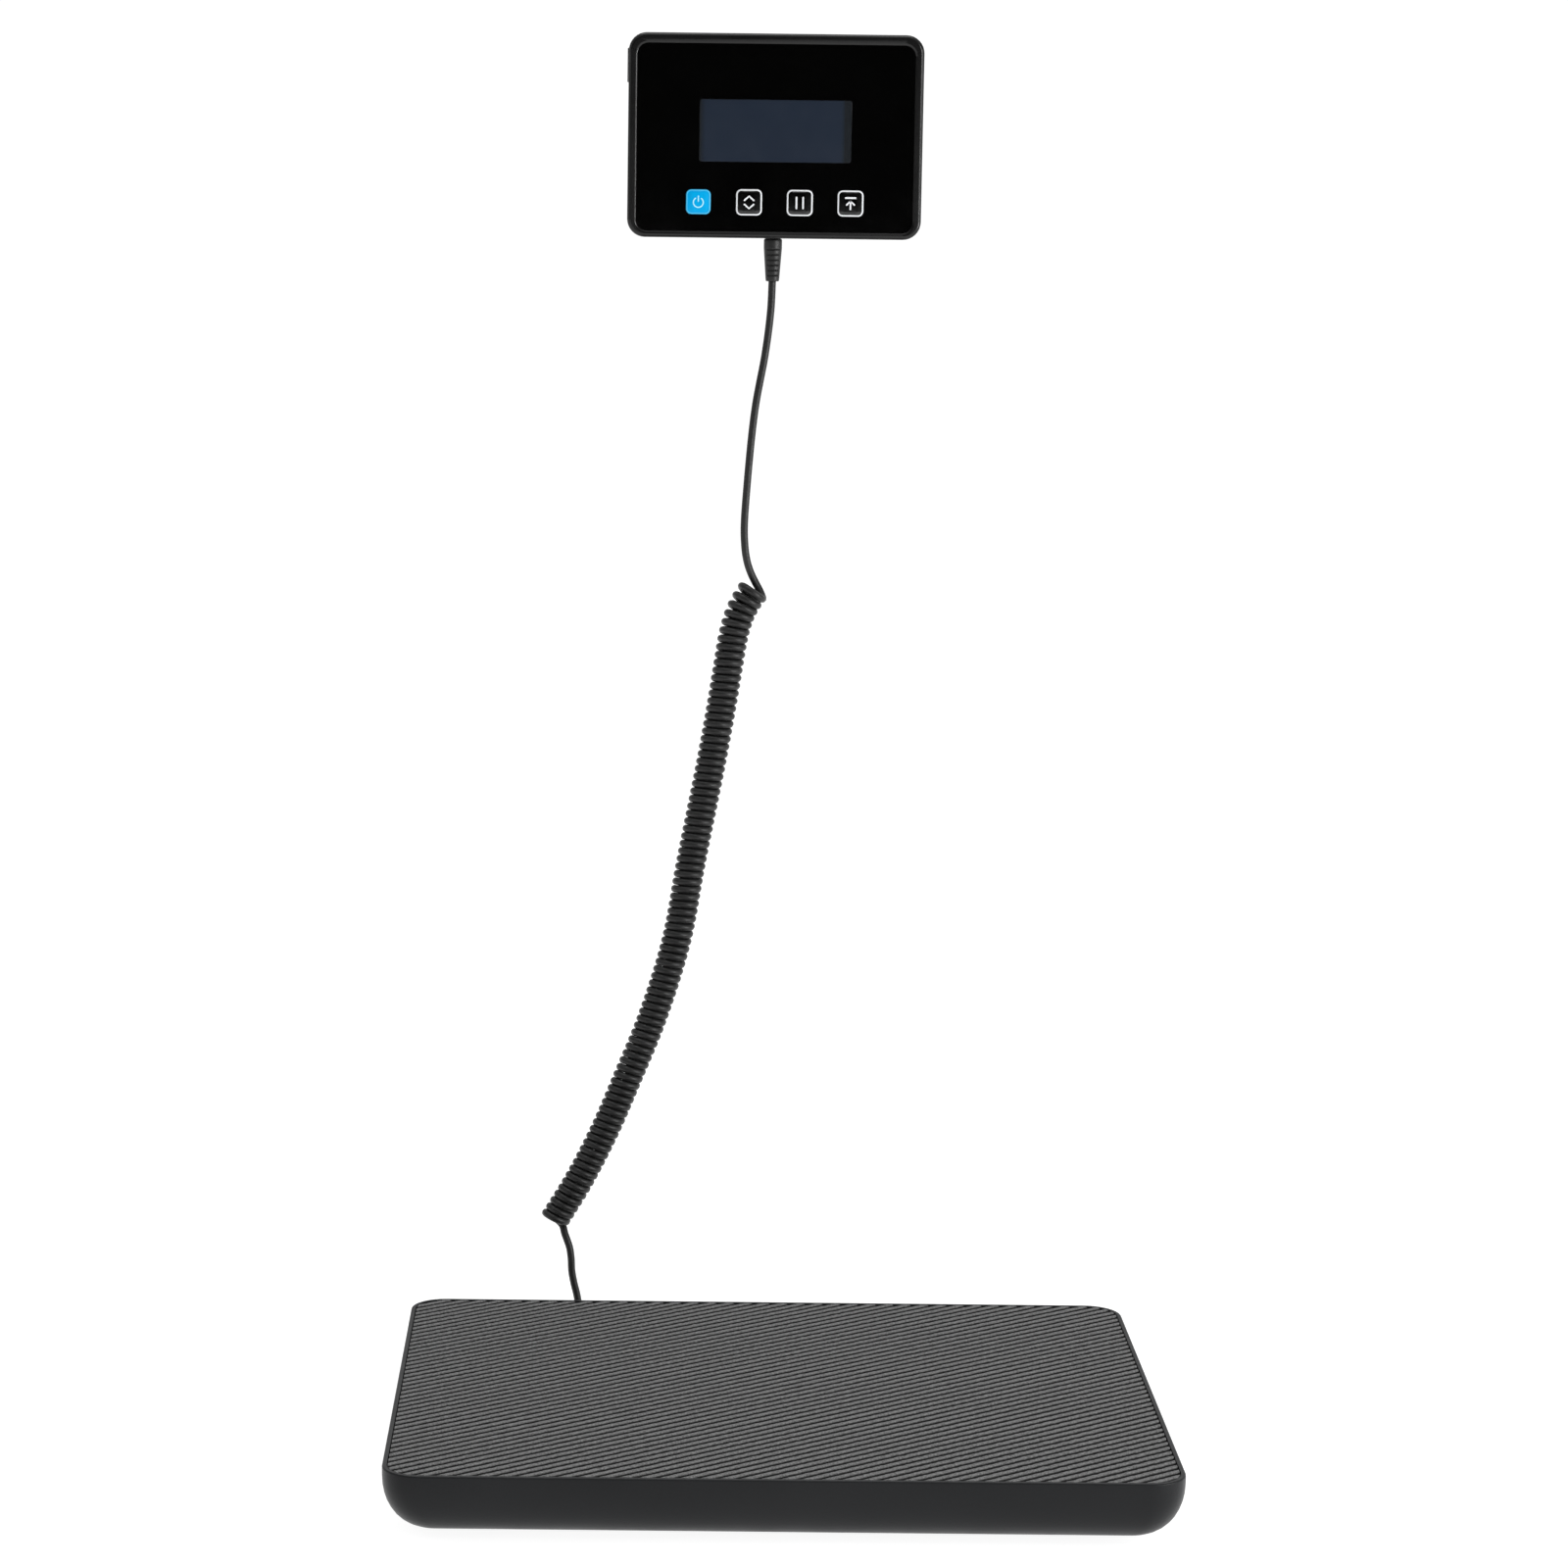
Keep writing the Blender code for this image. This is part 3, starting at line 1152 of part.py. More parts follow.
def make_cord(paint, platform_base):
    """The cord from the plug's boot to the gland. The curly part is one tube of its outer width."""
    boot_end = Vector((DISPLAY_X, DISPLAY_Y + PLUG_Y, DISPLAY_Z + DISPLAY_BOTTOM - 2 * GAP - BOOT_LENGTH))
    gland_end = Vector(
        (GLAND_X, HALF_DEPTH + GLAND_COLLAR_LENGTH + GLAND_BOOT_LENGTH, FOOT_CLEARANCE + GLAND_HEIGHT)
    )
    upper, coil, tail = [
        [Vector(point) * MM for point in route] for route in (UPPER_ROUTE, COIL_ROUTE, TAIL_ROUTE)
    ]
    for name, route, spacing, radius, roundness in (
        ("cord_upper", [boot_end, *upper], CORD_SPACING, CORD_RADIUS, 2),
        ("cord_coil", coil, COIL_SPACING, COIL_RADIUS, 3),
        ("cord_tail", [*tail, gland_end], TAIL_SPACING, CORD_RADIUS, 2),
    ):
        curve = spline(route)
        points = stretch(curve, 0.0, run_lengths(curve)[-1], spacing)
        tube(name, points, radius, paint, platform_base, roundness)


def make_paints():
    return {
        "charcoal": material("charcoal_plastic", (0.030, 0.032, 0.034), 0.55),
        "rubber": material("mat_rubber", (0.085, 0.087, 0.090), 0.85),
        "dark_plastic": material("dark_plastic", (0.020, 0.020, 0.021), 0.5),
        "steel": material("plated_steel", (0.55, 0.56, 0.57), 0.35, 1.0),
        "cell_metal": material("cell_steel", (0.62, 0.62, 0.60), 0.3, 1.0),
        "screw": material("screw_steel", (0.32, 0.32, 0.33), 0.35, 1.0),
        "board": material("green_board", (0.02, 0.16, 0.06), 0.45),
        "lead": material("lead_pvc", (0.30, 0.30, 0.31), 0.5),
        "cord": material("cord_pvc", (0.045, 0.045, 0.047), 0.5),
        "bezel": material("black_bezel", (0.018, 0.018, 0.019), 0.3),
        "panel": material("gloss_panel", (0.006, 0.006, 0.007), 0.08),
        "lcd": material("lcd_glass", (0.020, 0.028, 0.045), 0.15),
        "diffuser": material("white_diffuser", (0.75, 0.76, 0.78), 0.5),
        "key": material("black_key", (0.010, 0.010, 0.011), 0.15),
        "power_key": material("azure_key", (0.010, 0.35, 0.90), 0.25),
        "silicone": material("grey_silicone", (0.32, 0.33, 0.34), 0.7),
        "battery": material("battery_jacket", (0.10, 0.11, 0.12), 0.35),
    }


def main():
    for obj in list(bpy.data.objects):
        bpy.data.objects.remove(obj)
    paints = make_paints()
    platform_base = frame("platform_base", (0.0, PLATFORM_Y, 0.0))
    platform = frame("platform_underside", (0.0, 0.0, FOOT_CLEARANCE), platform_base)
    display = frame("display_face", (DISPLAY_X, DISPLAY_Y, DISPLAY_Z), platform_base)
    make_platform(paints, platform)
    make_display(paints, display)
    make_cord(paints["cord"], platform_base)


main()
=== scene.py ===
"""A platform shipping scale: a low platform with a ribbed rubber mat, a display that hangs on a wall
bracket, and the curly cord between them. Lengths in the tables are in millimetres."""

import json
import math

import bmesh
import bpy
import numpy as np
from mathutils import Matrix, Vector


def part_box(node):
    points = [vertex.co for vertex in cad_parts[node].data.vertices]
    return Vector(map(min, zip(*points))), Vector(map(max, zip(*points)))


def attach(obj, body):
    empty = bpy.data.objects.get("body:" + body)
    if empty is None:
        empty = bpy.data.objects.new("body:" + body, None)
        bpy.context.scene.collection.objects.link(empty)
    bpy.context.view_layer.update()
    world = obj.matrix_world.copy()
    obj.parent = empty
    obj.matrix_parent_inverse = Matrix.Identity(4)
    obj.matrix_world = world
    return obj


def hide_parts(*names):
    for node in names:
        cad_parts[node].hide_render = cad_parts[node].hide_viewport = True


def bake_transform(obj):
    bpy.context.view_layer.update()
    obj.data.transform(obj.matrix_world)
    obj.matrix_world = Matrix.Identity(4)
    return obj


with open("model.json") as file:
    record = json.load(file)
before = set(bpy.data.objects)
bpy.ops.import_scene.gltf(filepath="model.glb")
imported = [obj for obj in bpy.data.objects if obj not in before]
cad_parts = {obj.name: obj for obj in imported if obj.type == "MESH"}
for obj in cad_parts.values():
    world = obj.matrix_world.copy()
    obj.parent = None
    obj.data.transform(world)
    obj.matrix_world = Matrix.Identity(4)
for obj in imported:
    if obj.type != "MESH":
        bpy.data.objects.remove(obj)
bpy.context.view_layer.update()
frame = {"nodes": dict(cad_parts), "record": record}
NODES = frame["nodes"]
MM = 0.001
PER_MM = 1 / MM  # scale of a noise whose features are a millimetre across


def middle(node):
    """The middle of a CAD node's box."""
    low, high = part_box(node)
    return (low + high) / 2


# Origins of the two halves of the object
PLATFORM = Vector((middle("platform_housing").x, middle("platform_housing").y, 0.0))
DISPLAY = Vector((middle("display_front").x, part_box("display_front")[0].y, middle("display_front").z))

# Camera, from the platform's centre on the floor
CAMERA_PLACE = (-78.0, -2016.1, 660.3)
CAMERA_YAW = 0.309
CAMERA_PITCH = 8.967
CAMERA_ROLL = 0.697
CAMERA_LENS = 95.19
CAMERA_SHIFT = 0.08625

# Cord: its route from the platform's centre on the floor. The helix winds round the coil's axis.
CORD_RADIUS = 2.06
COIL_RADIUS = 6.2
TURN_STEPS = 16
COIL_TURNS = 86 + 330 / 360
# What the coil's top turns add, as (amount, turns that it fades over): share of the pitch, radius in
# millimetres, and lean along the axis as a share of the radius
TOP_PITCH = ((0.16, 5.0), (0.10, 1.5))
TOP_RADIUS = (0.45, 3.0)
TOP_LEAN = ((0.06, 12.0), (0.10, 1.0))
ROUTE_STEPS = 10
AXIS_STEPS = 40
UPPER_CORD = (
    (-4.2, 202.1, 566.0),
    (-6.7, 202.0, 543.6),
    (-11.8, 202.0, 513.0),
    (-15.5, 202.0, 470.3),
    (-16.5, 202.0, 449.2),
    (-15.9, 202.3, 439.1),
    (-15.2, 202.8, 434.3),
    (-14.0, 203.4, 429.5),
    (-12.2, 204.2, 424.8),
    (-10.0, 204.6, 420.4),
    (-7.9, 204.2, 416.6),
    (-6.5, 202.9, 413.6),
)
COIL_AXIS = (
    (-11.0, 200.3, 416.6),
    (-12.6, 200.1, 414.3),
    (-15.4, 199.8, 409.8),
    (-17.6, 199.5, 405.4),
    (-19.3, 199.2, 400.8),
    (-21.6, 198.7, 391.8),
    (-23.8, 197.6, 378.1),
    (-27.0, 196.2, 357.0),
    (-32.4, 194.0, 324.9),
    (-42.8, 190.0, 269.6),
    (-50.2, 187.0, 227.0),
    (-63.0, 184.0, 184.2),
    (-75.9, 181.0, 151.9),
    (-87.8, 179.0, 123.4),
    (-101.6, 177.0, 95.8),
    (-115.1, 176.0, 73.1),
)
TAIL_CORD = (
    (-108.9, 176.4, 65.9),
    (-107.5, 175.2, 62.4),
    (-106.2, 174.6, 58.6),
    (-105.3, 174.2, 52.7),
    (-104.9, 174.0, 45.8),
    (-103.6, 174.0, 38.8),
    (-102.0, 173.9, 32.4),
    (-100.9, 172.8, 26.4),
    (-100.2, 169.5, 21.3),
    (-100.0, 165.6, 19.3),
)


# ---------------------------------------------------------------- meshes

SHARP = 35.0  # degrees between faces that make a visible edge


def add_mesh(name, vertices, faces, paint):
    """Adds a smooth piece from vertices in metres and faces of vertex numbers."""
    mesh = bpy.data.meshes.new(name)
    mesh.from_pydata([tuple(v) for v in vertices], [], faces)
    mesh.materials.append(paint)
    mesh.update()
    mesh.shade_smooth()
    obj = bpy.data.objects.new(name, mesh)
    bpy.context.scene.collection.objects.link(obj)
    return obj


def face_outwards(bm):
    bmesh.ops.recalc_face_normals(bm, faces=bm.faces)
    if bm.calc_volume(signed=True) < 0:
        bmesh.ops.reverse_faces(bm, faces=bm.faces)


def from_bmesh(name, bm, materials, sharp=SHARP):
    """Turns closed shells into a smooth piece that keeps edges of more than sharp degrees."""
    face_outwards(bm)
    mesh = bpy.data.meshes.new(name)
    bm.to_mesh(mesh)
    bm.free()
    for paint in materials:
        mesh.materials.append(paint)
    mesh.shade_smooth()
    mesh.set_sharp_from_angle(angle=math.radians(sharp))
    obj = bpy.data.objects.new(name, mesh)
    bpy.context.scene.collection.objects.link(obj)
    return obj


def rounded(width, height, radius, u=0.0, v=0.0, steps=8):
    """The outline of a rectangle with rounded corners, round its middle at u, v."""
    points = []
    for corner, (side, end) in enumerate(((1, 1), (-1, 1), (-1, -1), (1, -1))):
        cu, cv = u + side * (width / 2 - radius), v + end * (height / 2 - radius)
        for step in range(steps + 1):
            angle = (corner + step / steps) * math.pi / 2
            points.append((cu + radius * math.cos(angle), cv + radius * math.sin(angle)))
    return points


def circle(radius, steps):
    angles = [2 * math.pi * step / steps for step in range(steps)]
    return [(radius * math.cos(a), radius * math.sin(a)) for a in angles]


def placed(u, v, height, axis):
    """A point of an outline at a height along an axis."""
    return {"Z": (u, v, height), "Y": (u, height, v), "X": (height, u, v)}[axis]


def loft(bm, levels, axis="Z", paints=None):
    """Adds a closed solid through outlines of equal length, as (height, outline) pairs in
    millimetres. paints has a material number for the band above each outline, and one for the
    last cap."""
    rings = [
        [bm.verts.new(Vector(placed(u, v, height, axis)) * MM) for u, v in outline]
        for height, outline in levels
    ]
    paints = paints or [0] * len(rings)
    count = len(rings[0])
    for level, (low, high) in enumerate(zip(rings, rings[1:])):
        for i in range(count):
            j = (i + 1) % count
            bm.faces.new((low[i], low[j], high[j], high[i])).material_index = paints[level]
    bm.faces.new(rings[0]).material_index = paints[0]
    bm.faces.new(rings[-1]).material_index = paints[-1]
    return bm


def turned(bm, profile, axis="Z", steps=40):
    """Adds a solid of revolution from (height, radius) pairs in millimetres."""
    return loft(bm, [(height, circle(radius, steps)) for height, radius in profile], axis)


def carve(obj, cutter):
    """Cuts one shape out of a piece with an exact Boolean, and keeps the result as its mesh."""
    modifier = obj.modifiers.new("carve", "BOOLEAN")
    modifier.operation = "DIFFERENCE"
    modifier.solver = "EXACT"
    modifier.object = cutter
    bpy.context.view_layer.update()
    graph = bpy.context.evaluated_depsgraph_get()
    mesh = bpy.data.meshes.new_from_object(obj.evaluated_get(graph))
    obj.modifiers.clear()
    obj.data = mesh
    bpy.data.objects.remove(cutter)
    mesh.shade_smooth()
    mesh.set_sharp_from_angle(angle=math.radians(SHARP))
    return obj


def bevel(obj, width, segments=2, angle=SHARP):
    """Rounds a piece's edges by a width in millimetres, and shades its flats flat."""
    modifier = obj.modifiers.new("bevel", "BEVEL")
    modifier.width = width * MM
    modifier.segments = segments
    modifier.limit_method = "ANGLE"
    modifier.angle_limit = math.radians(angle)
    normals = obj.modifiers.new("normals", "WEIGHTED_NORMAL")
    normals.keep_sharp = False
    return obj


def put(obj, body, slot, *nodes, at=None):
    """Places a piece, and says its body and the CAD nodes that it replaces. Its slot is not used."""
    if at is not None:
        obj.location = at
    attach(obj, body)
    if nodes:
        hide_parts(*nodes)
    return obj


# ---------------------------------------------------------------- materials

# Where the Mix node keeps its colour sockets, whose names aren't unique
MIX_FACTOR = 0
MIX_COLOURS = (6, 7)
MIX_RESULT = 2


class Paint:
    """A procedural material: a Principled shader fed by noise in the object's own coordinates."""

    def __init__(self, name, rough, metallic=0.0, **sockets):
        self.material = bpy.data.materials.new(name)
        self.material.use_nodes = True
        self.tree = self.material.node_tree
        self.shader = self.tree.nodes["Principled BSDF"]
        self.shader.inputs["Roughness"].default_value = rough
        self.shader.inputs["Metallic"].default_value = metallic
        for socket, value in sockets.items():
            self.shader.inputs[socket.replace("_", " ")].default_value = value
        self.place = self.node("ShaderNodeTexCoord").outputs["Object"]
        self.normal = None

    def node(self, kind, **settings):
        made = self.tree.nodes.new(kind)
        for key, value in settings.items():
            setattr(made, key, value)
        return made

    def feed(self, node, socket, value):
        if isinstance(value, bpy.types.NodeSocket):
            self.tree.links.new(value, node.inputs[socket])
        else:
            node.inputs[socket].default_value = value

    def noise(self, size, detail=2.0, rough=0.5, stretch=None):
        """Noise whose features are about that many millimetres across."""
        place = self.place
        if stretch:
            mapping = self.node("ShaderNodeMapping")
            self.feed(mapping, "Vector", place)
            self.feed(mapping, "Scale", stretch)
            place = mapping.outputs["Vector"]
        made = self.node("ShaderNodeTexNoise")
        self.feed(made, "Vector", place)
        self.feed(made, "Scale", PER_MM / size)
        self.feed(made, "Detail", detail)
        self.feed(made, "Roughness", rough)
        return made.outputs["Fac"]

    def cells(self, size):
        """Distance from the middles of cells that are about that many millimetres across."""
        made = self.node("ShaderNodeTexVoronoi")
        self.feed(made, "Vector", self.place)
        self.feed(made, "Scale", PER_MM / size)
        return made.outputs["Distance"]

    def ramp(self, value, low, high, out_low=0.0, out_high=1.0):
        """Maps a value from one range to another, and stops at its ends."""
        made = self.node("ShaderNodeMapRange")
        self.feed(made, "Value", value)
        self.feed(made, "From Min", low)
        self.feed(made, "From Max", high)
        self.feed(made, "To Min", out_low)
        self.feed(made, "To Max", out_high)
        return made.outputs["Result"]

    def mix(self, factor, one, two):
        """A mix of two colours, each of them an RGB tuple or another mix."""
        made = self.node("ShaderNodeMix", data_type="RGBA")
        self.feed(made, MIX_FACTOR, factor)
        for index, colour in zip(MIX_COLOURS, (one, two)):
            linked = isinstance(colour, bpy.types.NodeSocket)
            self.feed(made, index, colour if linked else (*colour, 1.0))
        return made.outputs[MIX_RESULT]

    def colour(self, value):
        self.feed(self.shader, "Base Color", value)
        return self

    def mottle(self, one, two, size, contrast=0.2):
        """Colour that drifts between two tones."""
        factor = self.ramp(self.noise(size, 3.0), 0.5 - contrast, 0.5 + contrast)
        return self.colour(self.mix(factor, one, two))

    def gloss(self, low, high, size):
        """Roughness that drifts between two values, as handling and moulding leave it."""
        drift = self.ramp(self.noise(size, 4.0, 0.6), 0.3, 0.7, low, high)
        self.feed(self.shader, "Roughness", drift)
        return self

    def bump(self, height, distance):
        """Relief of a depth in millimetres, on top of any relief that came before."""
        made = self.node("ShaderNodeBump")
        self.feed(made, "Height", height)
        self.feed(made, "Distance", distance * MM)
        self.feed(made, "Strength", 1.0)
        if self.normal:
            self.feed(made, "Normal", self.normal)
        self.normal = made.outputs["Normal"]
        self.feed(self.shader, "Normal", self.normal)
        return self


def grey(value):
    return (value, value, value)


def make_paints():
    """The finish of each material slot. The deck mat has its own, though its slot is rubber."""
    paints = {}

    def add(slot, paint):
        paints[slot] = paint.material

    housing = Paint("housing_finish", 0.5, Specular_IOR_Level=0.16).mottle(
        (0.0092, 0.0097, 0.0106), (0.0114, 0.0120, 0.0130), 60
    )
    housing.gloss(0.34, 0.42, 25).bump(housing.noise(0.55, 2.0), 0.035)
    housing.bump(housing.cells(0.9), 0.02)
    add("housing", housing)

    rubber = Paint("mat_rubber_finish", 0.8, Specular_IOR_Level=0.35)
    speck = rubber.ramp(rubber.noise(0.8, 3.0, 0.7), 0.36, 0.66)
    drift = rubber.ramp(rubber.noise(9.0, 2.0), 0.35, 0.65)
    light = rubber.mix(drift, grey(0.118), grey(0.150))
    rubber.colour(rubber.mix(speck, grey(0.074), light))
    rubber.gloss(0.70, 0.88, 4).bump(rubber.noise(0.7, 3.0, 0.7), 0.10)
    rubber.bump(rubber.noise(3.0), 0.15)
    add("rubber", rubber)

    # Painted shade: the deck's rubber is pale on its ribs and painted near black down in the grooves
    # between them, where shade falls.
    deck = Paint("deck_rubber_with_groove_shade", 0.85, Specular_IOR_Level=0.2)
    level = deck.node("ShaderNodeSeparateXYZ")
    deck.feed(level, "Vector", deck.place)
    groove, crest = 1.30 * MM, 1.98 * MM
    # Goes from the painted shade at the grooves' foot to the ribs' own colour at their crests.
    shade_to_crest = deck.ramp(level.outputs["Z"], groove, crest)
    speck = deck.ramp(deck.noise(0.9, 3.0, 0.7), 0.38, 0.62)
    top = deck.mix(speck, grey(0.092), grey(0.225))
    # Painted shade: the grooves' near-black colour.
    foot = deck.mix(speck, grey(0.002), grey(0.007))
    deck.colour(deck.mix(shade_to_crest, foot, top))
    deck.gloss(0.74, 0.92, 4).bump(deck.noise(0.8, 3.0, 0.7), 0.12)
    deck.bump(deck.noise(3.0), 0.12)
    add("deck", deck)

    inner = Paint("inner_plastic_finish", 0.5).mottle(grey(0.018), grey(0.024), 30)
    inner.gloss(0.42, 0.58, 12).bump(inner.noise(0.6), 0.03)
    add("inner_plastic", inner)

    metals = (("plated_steel", 0.56, 0.30), ("cell_steel", 0.60, 0.26), ("screws", 0.20, 0.34))
    for slot, tone, rough in metals:
        steel = Paint(f"{slot}_finish", rough, 1.0).mottle(grey(tone * 0.88), grey(tone), 12)
        grain = steel.noise(0.5, 3.0, 0.6, stretch=(0.12, 1.0, 1.0))
        steel.gloss(rough - 0.06, rough + 0.12, 3).bump(grain, 0.012)
        add(slot, steel)

    board = Paint("circuit_board_finish", 0.4, Coat_Weight=0.4, Coat_Roughness=0.2)
    tracks = board.ramp(board.noise(2.2, 1.0, 0.2, stretch=(0.25, 1.0, 1.0)), 0.50, 0.53)
    board.colour(board.mix(tracks, (0.010, 0.105, 0.040), (0.018, 0.170, 0.065)))
    board.gloss(0.32, 0.46, 5).bump(tracks, 0.03)
    add("circuit_board", board)

    leads = Paint("leads_finish", 0.45).mottle(grey(0.26), grey(0.34), 5)
    leads.gloss(0.40, 0.55, 4).bump(leads.noise(0.8), 0.02)
    add("leads", leads)

    cord = Paint("cord_finish", 0.42, Specular_IOR_Level=0.32)
    cord.mottle(grey(0.0105), grey(0.0150), 14)
    cord.gloss(0.34, 0.44, 6).bump(cord.noise(0.9, 3.0, 0.6), 0.04)
    add("cord", cord)

    shell = Paint("display_shell_finish", 0.20, Specular_IOR_Level=0.35)
    shell.mottle(grey(0.0046), grey(0.0064), 30)
    shell.gloss(0.16, 0.22, 14).bump(shell.noise(0.45), 0.006)
    add("display_shell", shell)

    panel = Paint("gloss_panel_finish", 0.05, Coat_Weight=0.3, Coat_Roughness=0.02)
    panel.mottle(grey(0.0004), grey(0.0008), 40)
    panel.gloss(0.035, 0.075, 18).bump(panel.noise(25.0, 1.0), 0.02)
    add("gloss_panel", panel)

    diffuser = Paint("diffuser_finish", 0.5, Subsurface_Weight=0.1)
    diffuser.mottle(grey(0.74), grey(0.80), 8)
    diffuser.gloss(0.42, 0.56, 6).bump(diffuser.noise(1.0), 0.03)
    add("diffuser", diffuser)

    power = Paint("power_key_finish", 0.30, Specular_IOR_Level=0.12)
    power.mottle((0.001, 0.345, 0.700), (0.001, 0.370, 0.750), 6).gloss(0.18, 0.28, 5)
    power.bump(power.noise(0.5), 0.006)
    add("power_key", power)

    keys = Paint("keys_finish", 0.14, Coat_Weight=0.4, Coat_Roughness=0.06)
    keys.mottle(grey(0.0008), grey(0.0014), 6).gloss(0.09, 0.15, 5).bump(keys.noise(0.5), 0.004)
    add("keys", keys)

    silicone = Paint("silicone_finish", 0.6, Subsurface_Weight=0.1)
    silicone.mottle(grey(0.29), grey(0.35), 8)
    silicone.gloss(0.52, 0.68, 5).bump(silicone.noise(0.8), 0.03)
    add("silicone", silicone)
    return paints


def print_and_highlight_paint(name, tone):
    """The ink of a printed mark, also used for the power key's lighter azure frame, which is a painted
    highlight.
    """
    paint = Paint(name, 0.4)
    paint.mottle(tuple(0.93 * part for part in tone), tone, 1.5).gloss(0.34, 0.48, 2)
    return paint.bump(paint.noise(0.4), 0.006).material


def lcd_paint():
    """Dark blue-grey glass with a darker, greyer band at each end of the window."""
    paint = Paint("lcd_finish", 0.10, Coat_Weight=0.2, Coat_Roughness=0.03)
    low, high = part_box("lcd_module")
    across = paint.node("ShaderNodeSeparateXYZ")
    paint.feed(across, "Vector", paint.place)
    x = across.outputs["X"]
    hidden = 2.8 * MM  # how much of each end the front panel covers
    near, far = low.x + hidden, high.x - hidden
    left = paint.ramp(x, near + 0.6 * MM, near + 3.4 * MM, 1.0, 0.0)
    right = paint.ramp(x, far - 5.6 * MM, far - 3.6 * MM, 0.0, 1.0)
    both = paint.node("ShaderNodeMath", operation="MAXIMUM")
    paint.feed(both, 0, left)
    paint.feed(both, 1, right)
    drift = paint.mix(paint.noise(20), (0.0148, 0.0212, 0.0345), (0.0164, 0.0234, 0.0374))
    paint.colour(paint.mix(both.outputs[0], drift, (0.0124, 0.0148, 0.0177)))
    paint.gloss(0.08, 0.14, 10).bump(paint.noise(12.0), 0.01)
    return paint.material


def battery_paint():
    """A printed jacket: a copper-coloured end and a dark barrel, split across the cell's length."""
    paint = Paint("battery_finish", 0.3)
    across = paint.node("ShaderNodeSeparateXYZ")
    paint.feed(across, "Vector", paint.place)
    band = paint.ramp(across.outputs["X"], DISPLAY.x + 8 * MM, DISPLAY.x + 8.2 * MM)
    barrel = paint.mix(paint.noise(6), grey(0.030), grey(0.045))
    paint.colour(paint.mix(band, barrel, (0.52, 0.26, 0.09)))
    return paint.gloss(0.24, 0.36, 4).bump(paint.noise(0.8), 0.01).material


PAINTS = make_paints()
WHITE_PRINT = print_and_highlight_paint("white_print", (0.80, 0.82, 0.84))
# Painted highlight: the power key's lighter azure frame round its edge.
AZURE_RIM_HIGHLIGHT = print_and_highlight_paint("azure_rim_highlight", (0.05, 0.52, 0.86))
CYAN_PRINT = print_and_highlight_paint("cyan_print", (0.42, 0.84, 0.98))
PAINTS["lcd"] = lcd_paint()
PAINTS["battery"] = battery_paint()


# ---------------------------------------------------------------- camera


def make_camera():
    """The photo's camera: where it stands, its yaw, pitch and roll, and its lens."""
    yaw, pitch, roll = (math.radians(a) for a in (CAMERA_YAW, CAMERA_PITCH, CAMERA_ROLL))
    forward = Vector(
        (math.sin(yaw) * math.cos(pitch), math.cos(yaw) * math.cos(pitch), -math.sin(pitch))
    )
    level = Vector((math.cos(yaw), -math.sin(yaw), 0.0))
    above = level.cross(forward)
    right = math.cos(roll) * level + math.sin(roll) * above
    up = -math.sin(roll) * level + math.cos(roll) * above
    data = bpy.data.cameras.new("camera")
    data.lens = CAMERA_LENS
    data.sensor_width = 36.0
    data.shift_x = CAMERA_SHIFT
    data.clip_end = 100.0
    camera = bpy.data.objects.new("camera", data)
    turn = Matrix((right, up, -forward)).transposed().to_4x4()
    camera.matrix_world = Matrix.Translation(PLATFORM + Vector(CAMERA_PLACE) * MM) @ turn
    bpy.context.scene.collection.objects.link(camera)
    bpy.context.scene.camera = camera


# ---------------------------------------------------------------- cord


def spline(points, per_span):
    """Points along a centripetal curve through the given points."""
    ends = [2 * points[0] - points[1], *points, 2 * points[-1] - points[-2]]
    curve = []
    for i in range(1, len(ends) - 2):
        p0, p1, p2, p3 = ends[i - 1 : i + 3]
        t1 = (p1 - p0).length ** 0.5
        t2 = t1 + (p2 - p1).length ** 0.5
        t3 = t2 + (p3 - p2).length ** 0.5
        for step in range(per_span):
            t = t1 + (t2 - t1) * step / per_span
            a1 = p0.lerp(p1, t / t1)
            a2 = p1.lerp(p2, (t - t1) / (t2 - t1))
            a3 = p2.lerp(p3, (t - t2) / (t3 - t2))
            b1 = a1.lerp(a2, t / t2)
            b2 = a2.lerp(a3, (t - t1) / (t3 - t1))
            curve.append(b1.lerp(b2, (t - t1) / (t2 - t1)))
    return [*curve, points[-1]]


def helix():
    """The coil's winding round its axis, from the top down. It starts at the coil's right side."""
    axis = np.array([tuple(p) for p in spline([Vector(p) for p in COIL_AXIS], AXIS_STEPS)])
    steps = np.linalg.norm(np.diff(axis, axis=0), axis=1)
    run = np.concatenate(([0.0], np.cumsum(steps)))
    count = round(COIL_TURNS * TURN_STEPS)
    turns = np.linspace(0.0, COIL_TURNS, count + 1)
    # The first turns are pulled apart by the weight of the coil below them.
    pitch = 1.0 + sum(share * np.exp(-turns / fade) for share, fade in TOP_PITCH)
    along = np.concatenate(([0.0], np.cumsum((pitch[1:] + pitch[:-1]) / 2)))
    along *= run[-1] / along[-1]
    flare, flare_fade = TOP_RADIUS
    reach = 2.0  # to each side of a point, for the axis's direction there

    def axis_at(length):
        return np.array([np.interp(length, run, axis[:, k]) for k in range(3)])

    points = []
    for turn, length in zip(turns, along):
        here = axis_at(length)
        low, high = axis_at(max(length - reach, 0.0)), axis_at(min(length + reach, run[-1]))
        down = (high - low) / np.linalg.norm(high - low)
        right = np.array((1.0, 0.0, 0.0)) - down[0] * down
        right /= np.linalg.norm(right)
        front = np.cross(down, right)
        angle = 2 * math.pi * turn
        radius = COIL_RADIUS + flare * math.exp(-turn / flare_fade)
        lean = sum(share * math.exp(-turn / fade) for share, fade in TOP_LEAN) * math.cos(angle)
        around = math.cos(angle) * right + math.sin(angle) * front + lean * down
        points.append(Vector(here + radius * around))
    return points


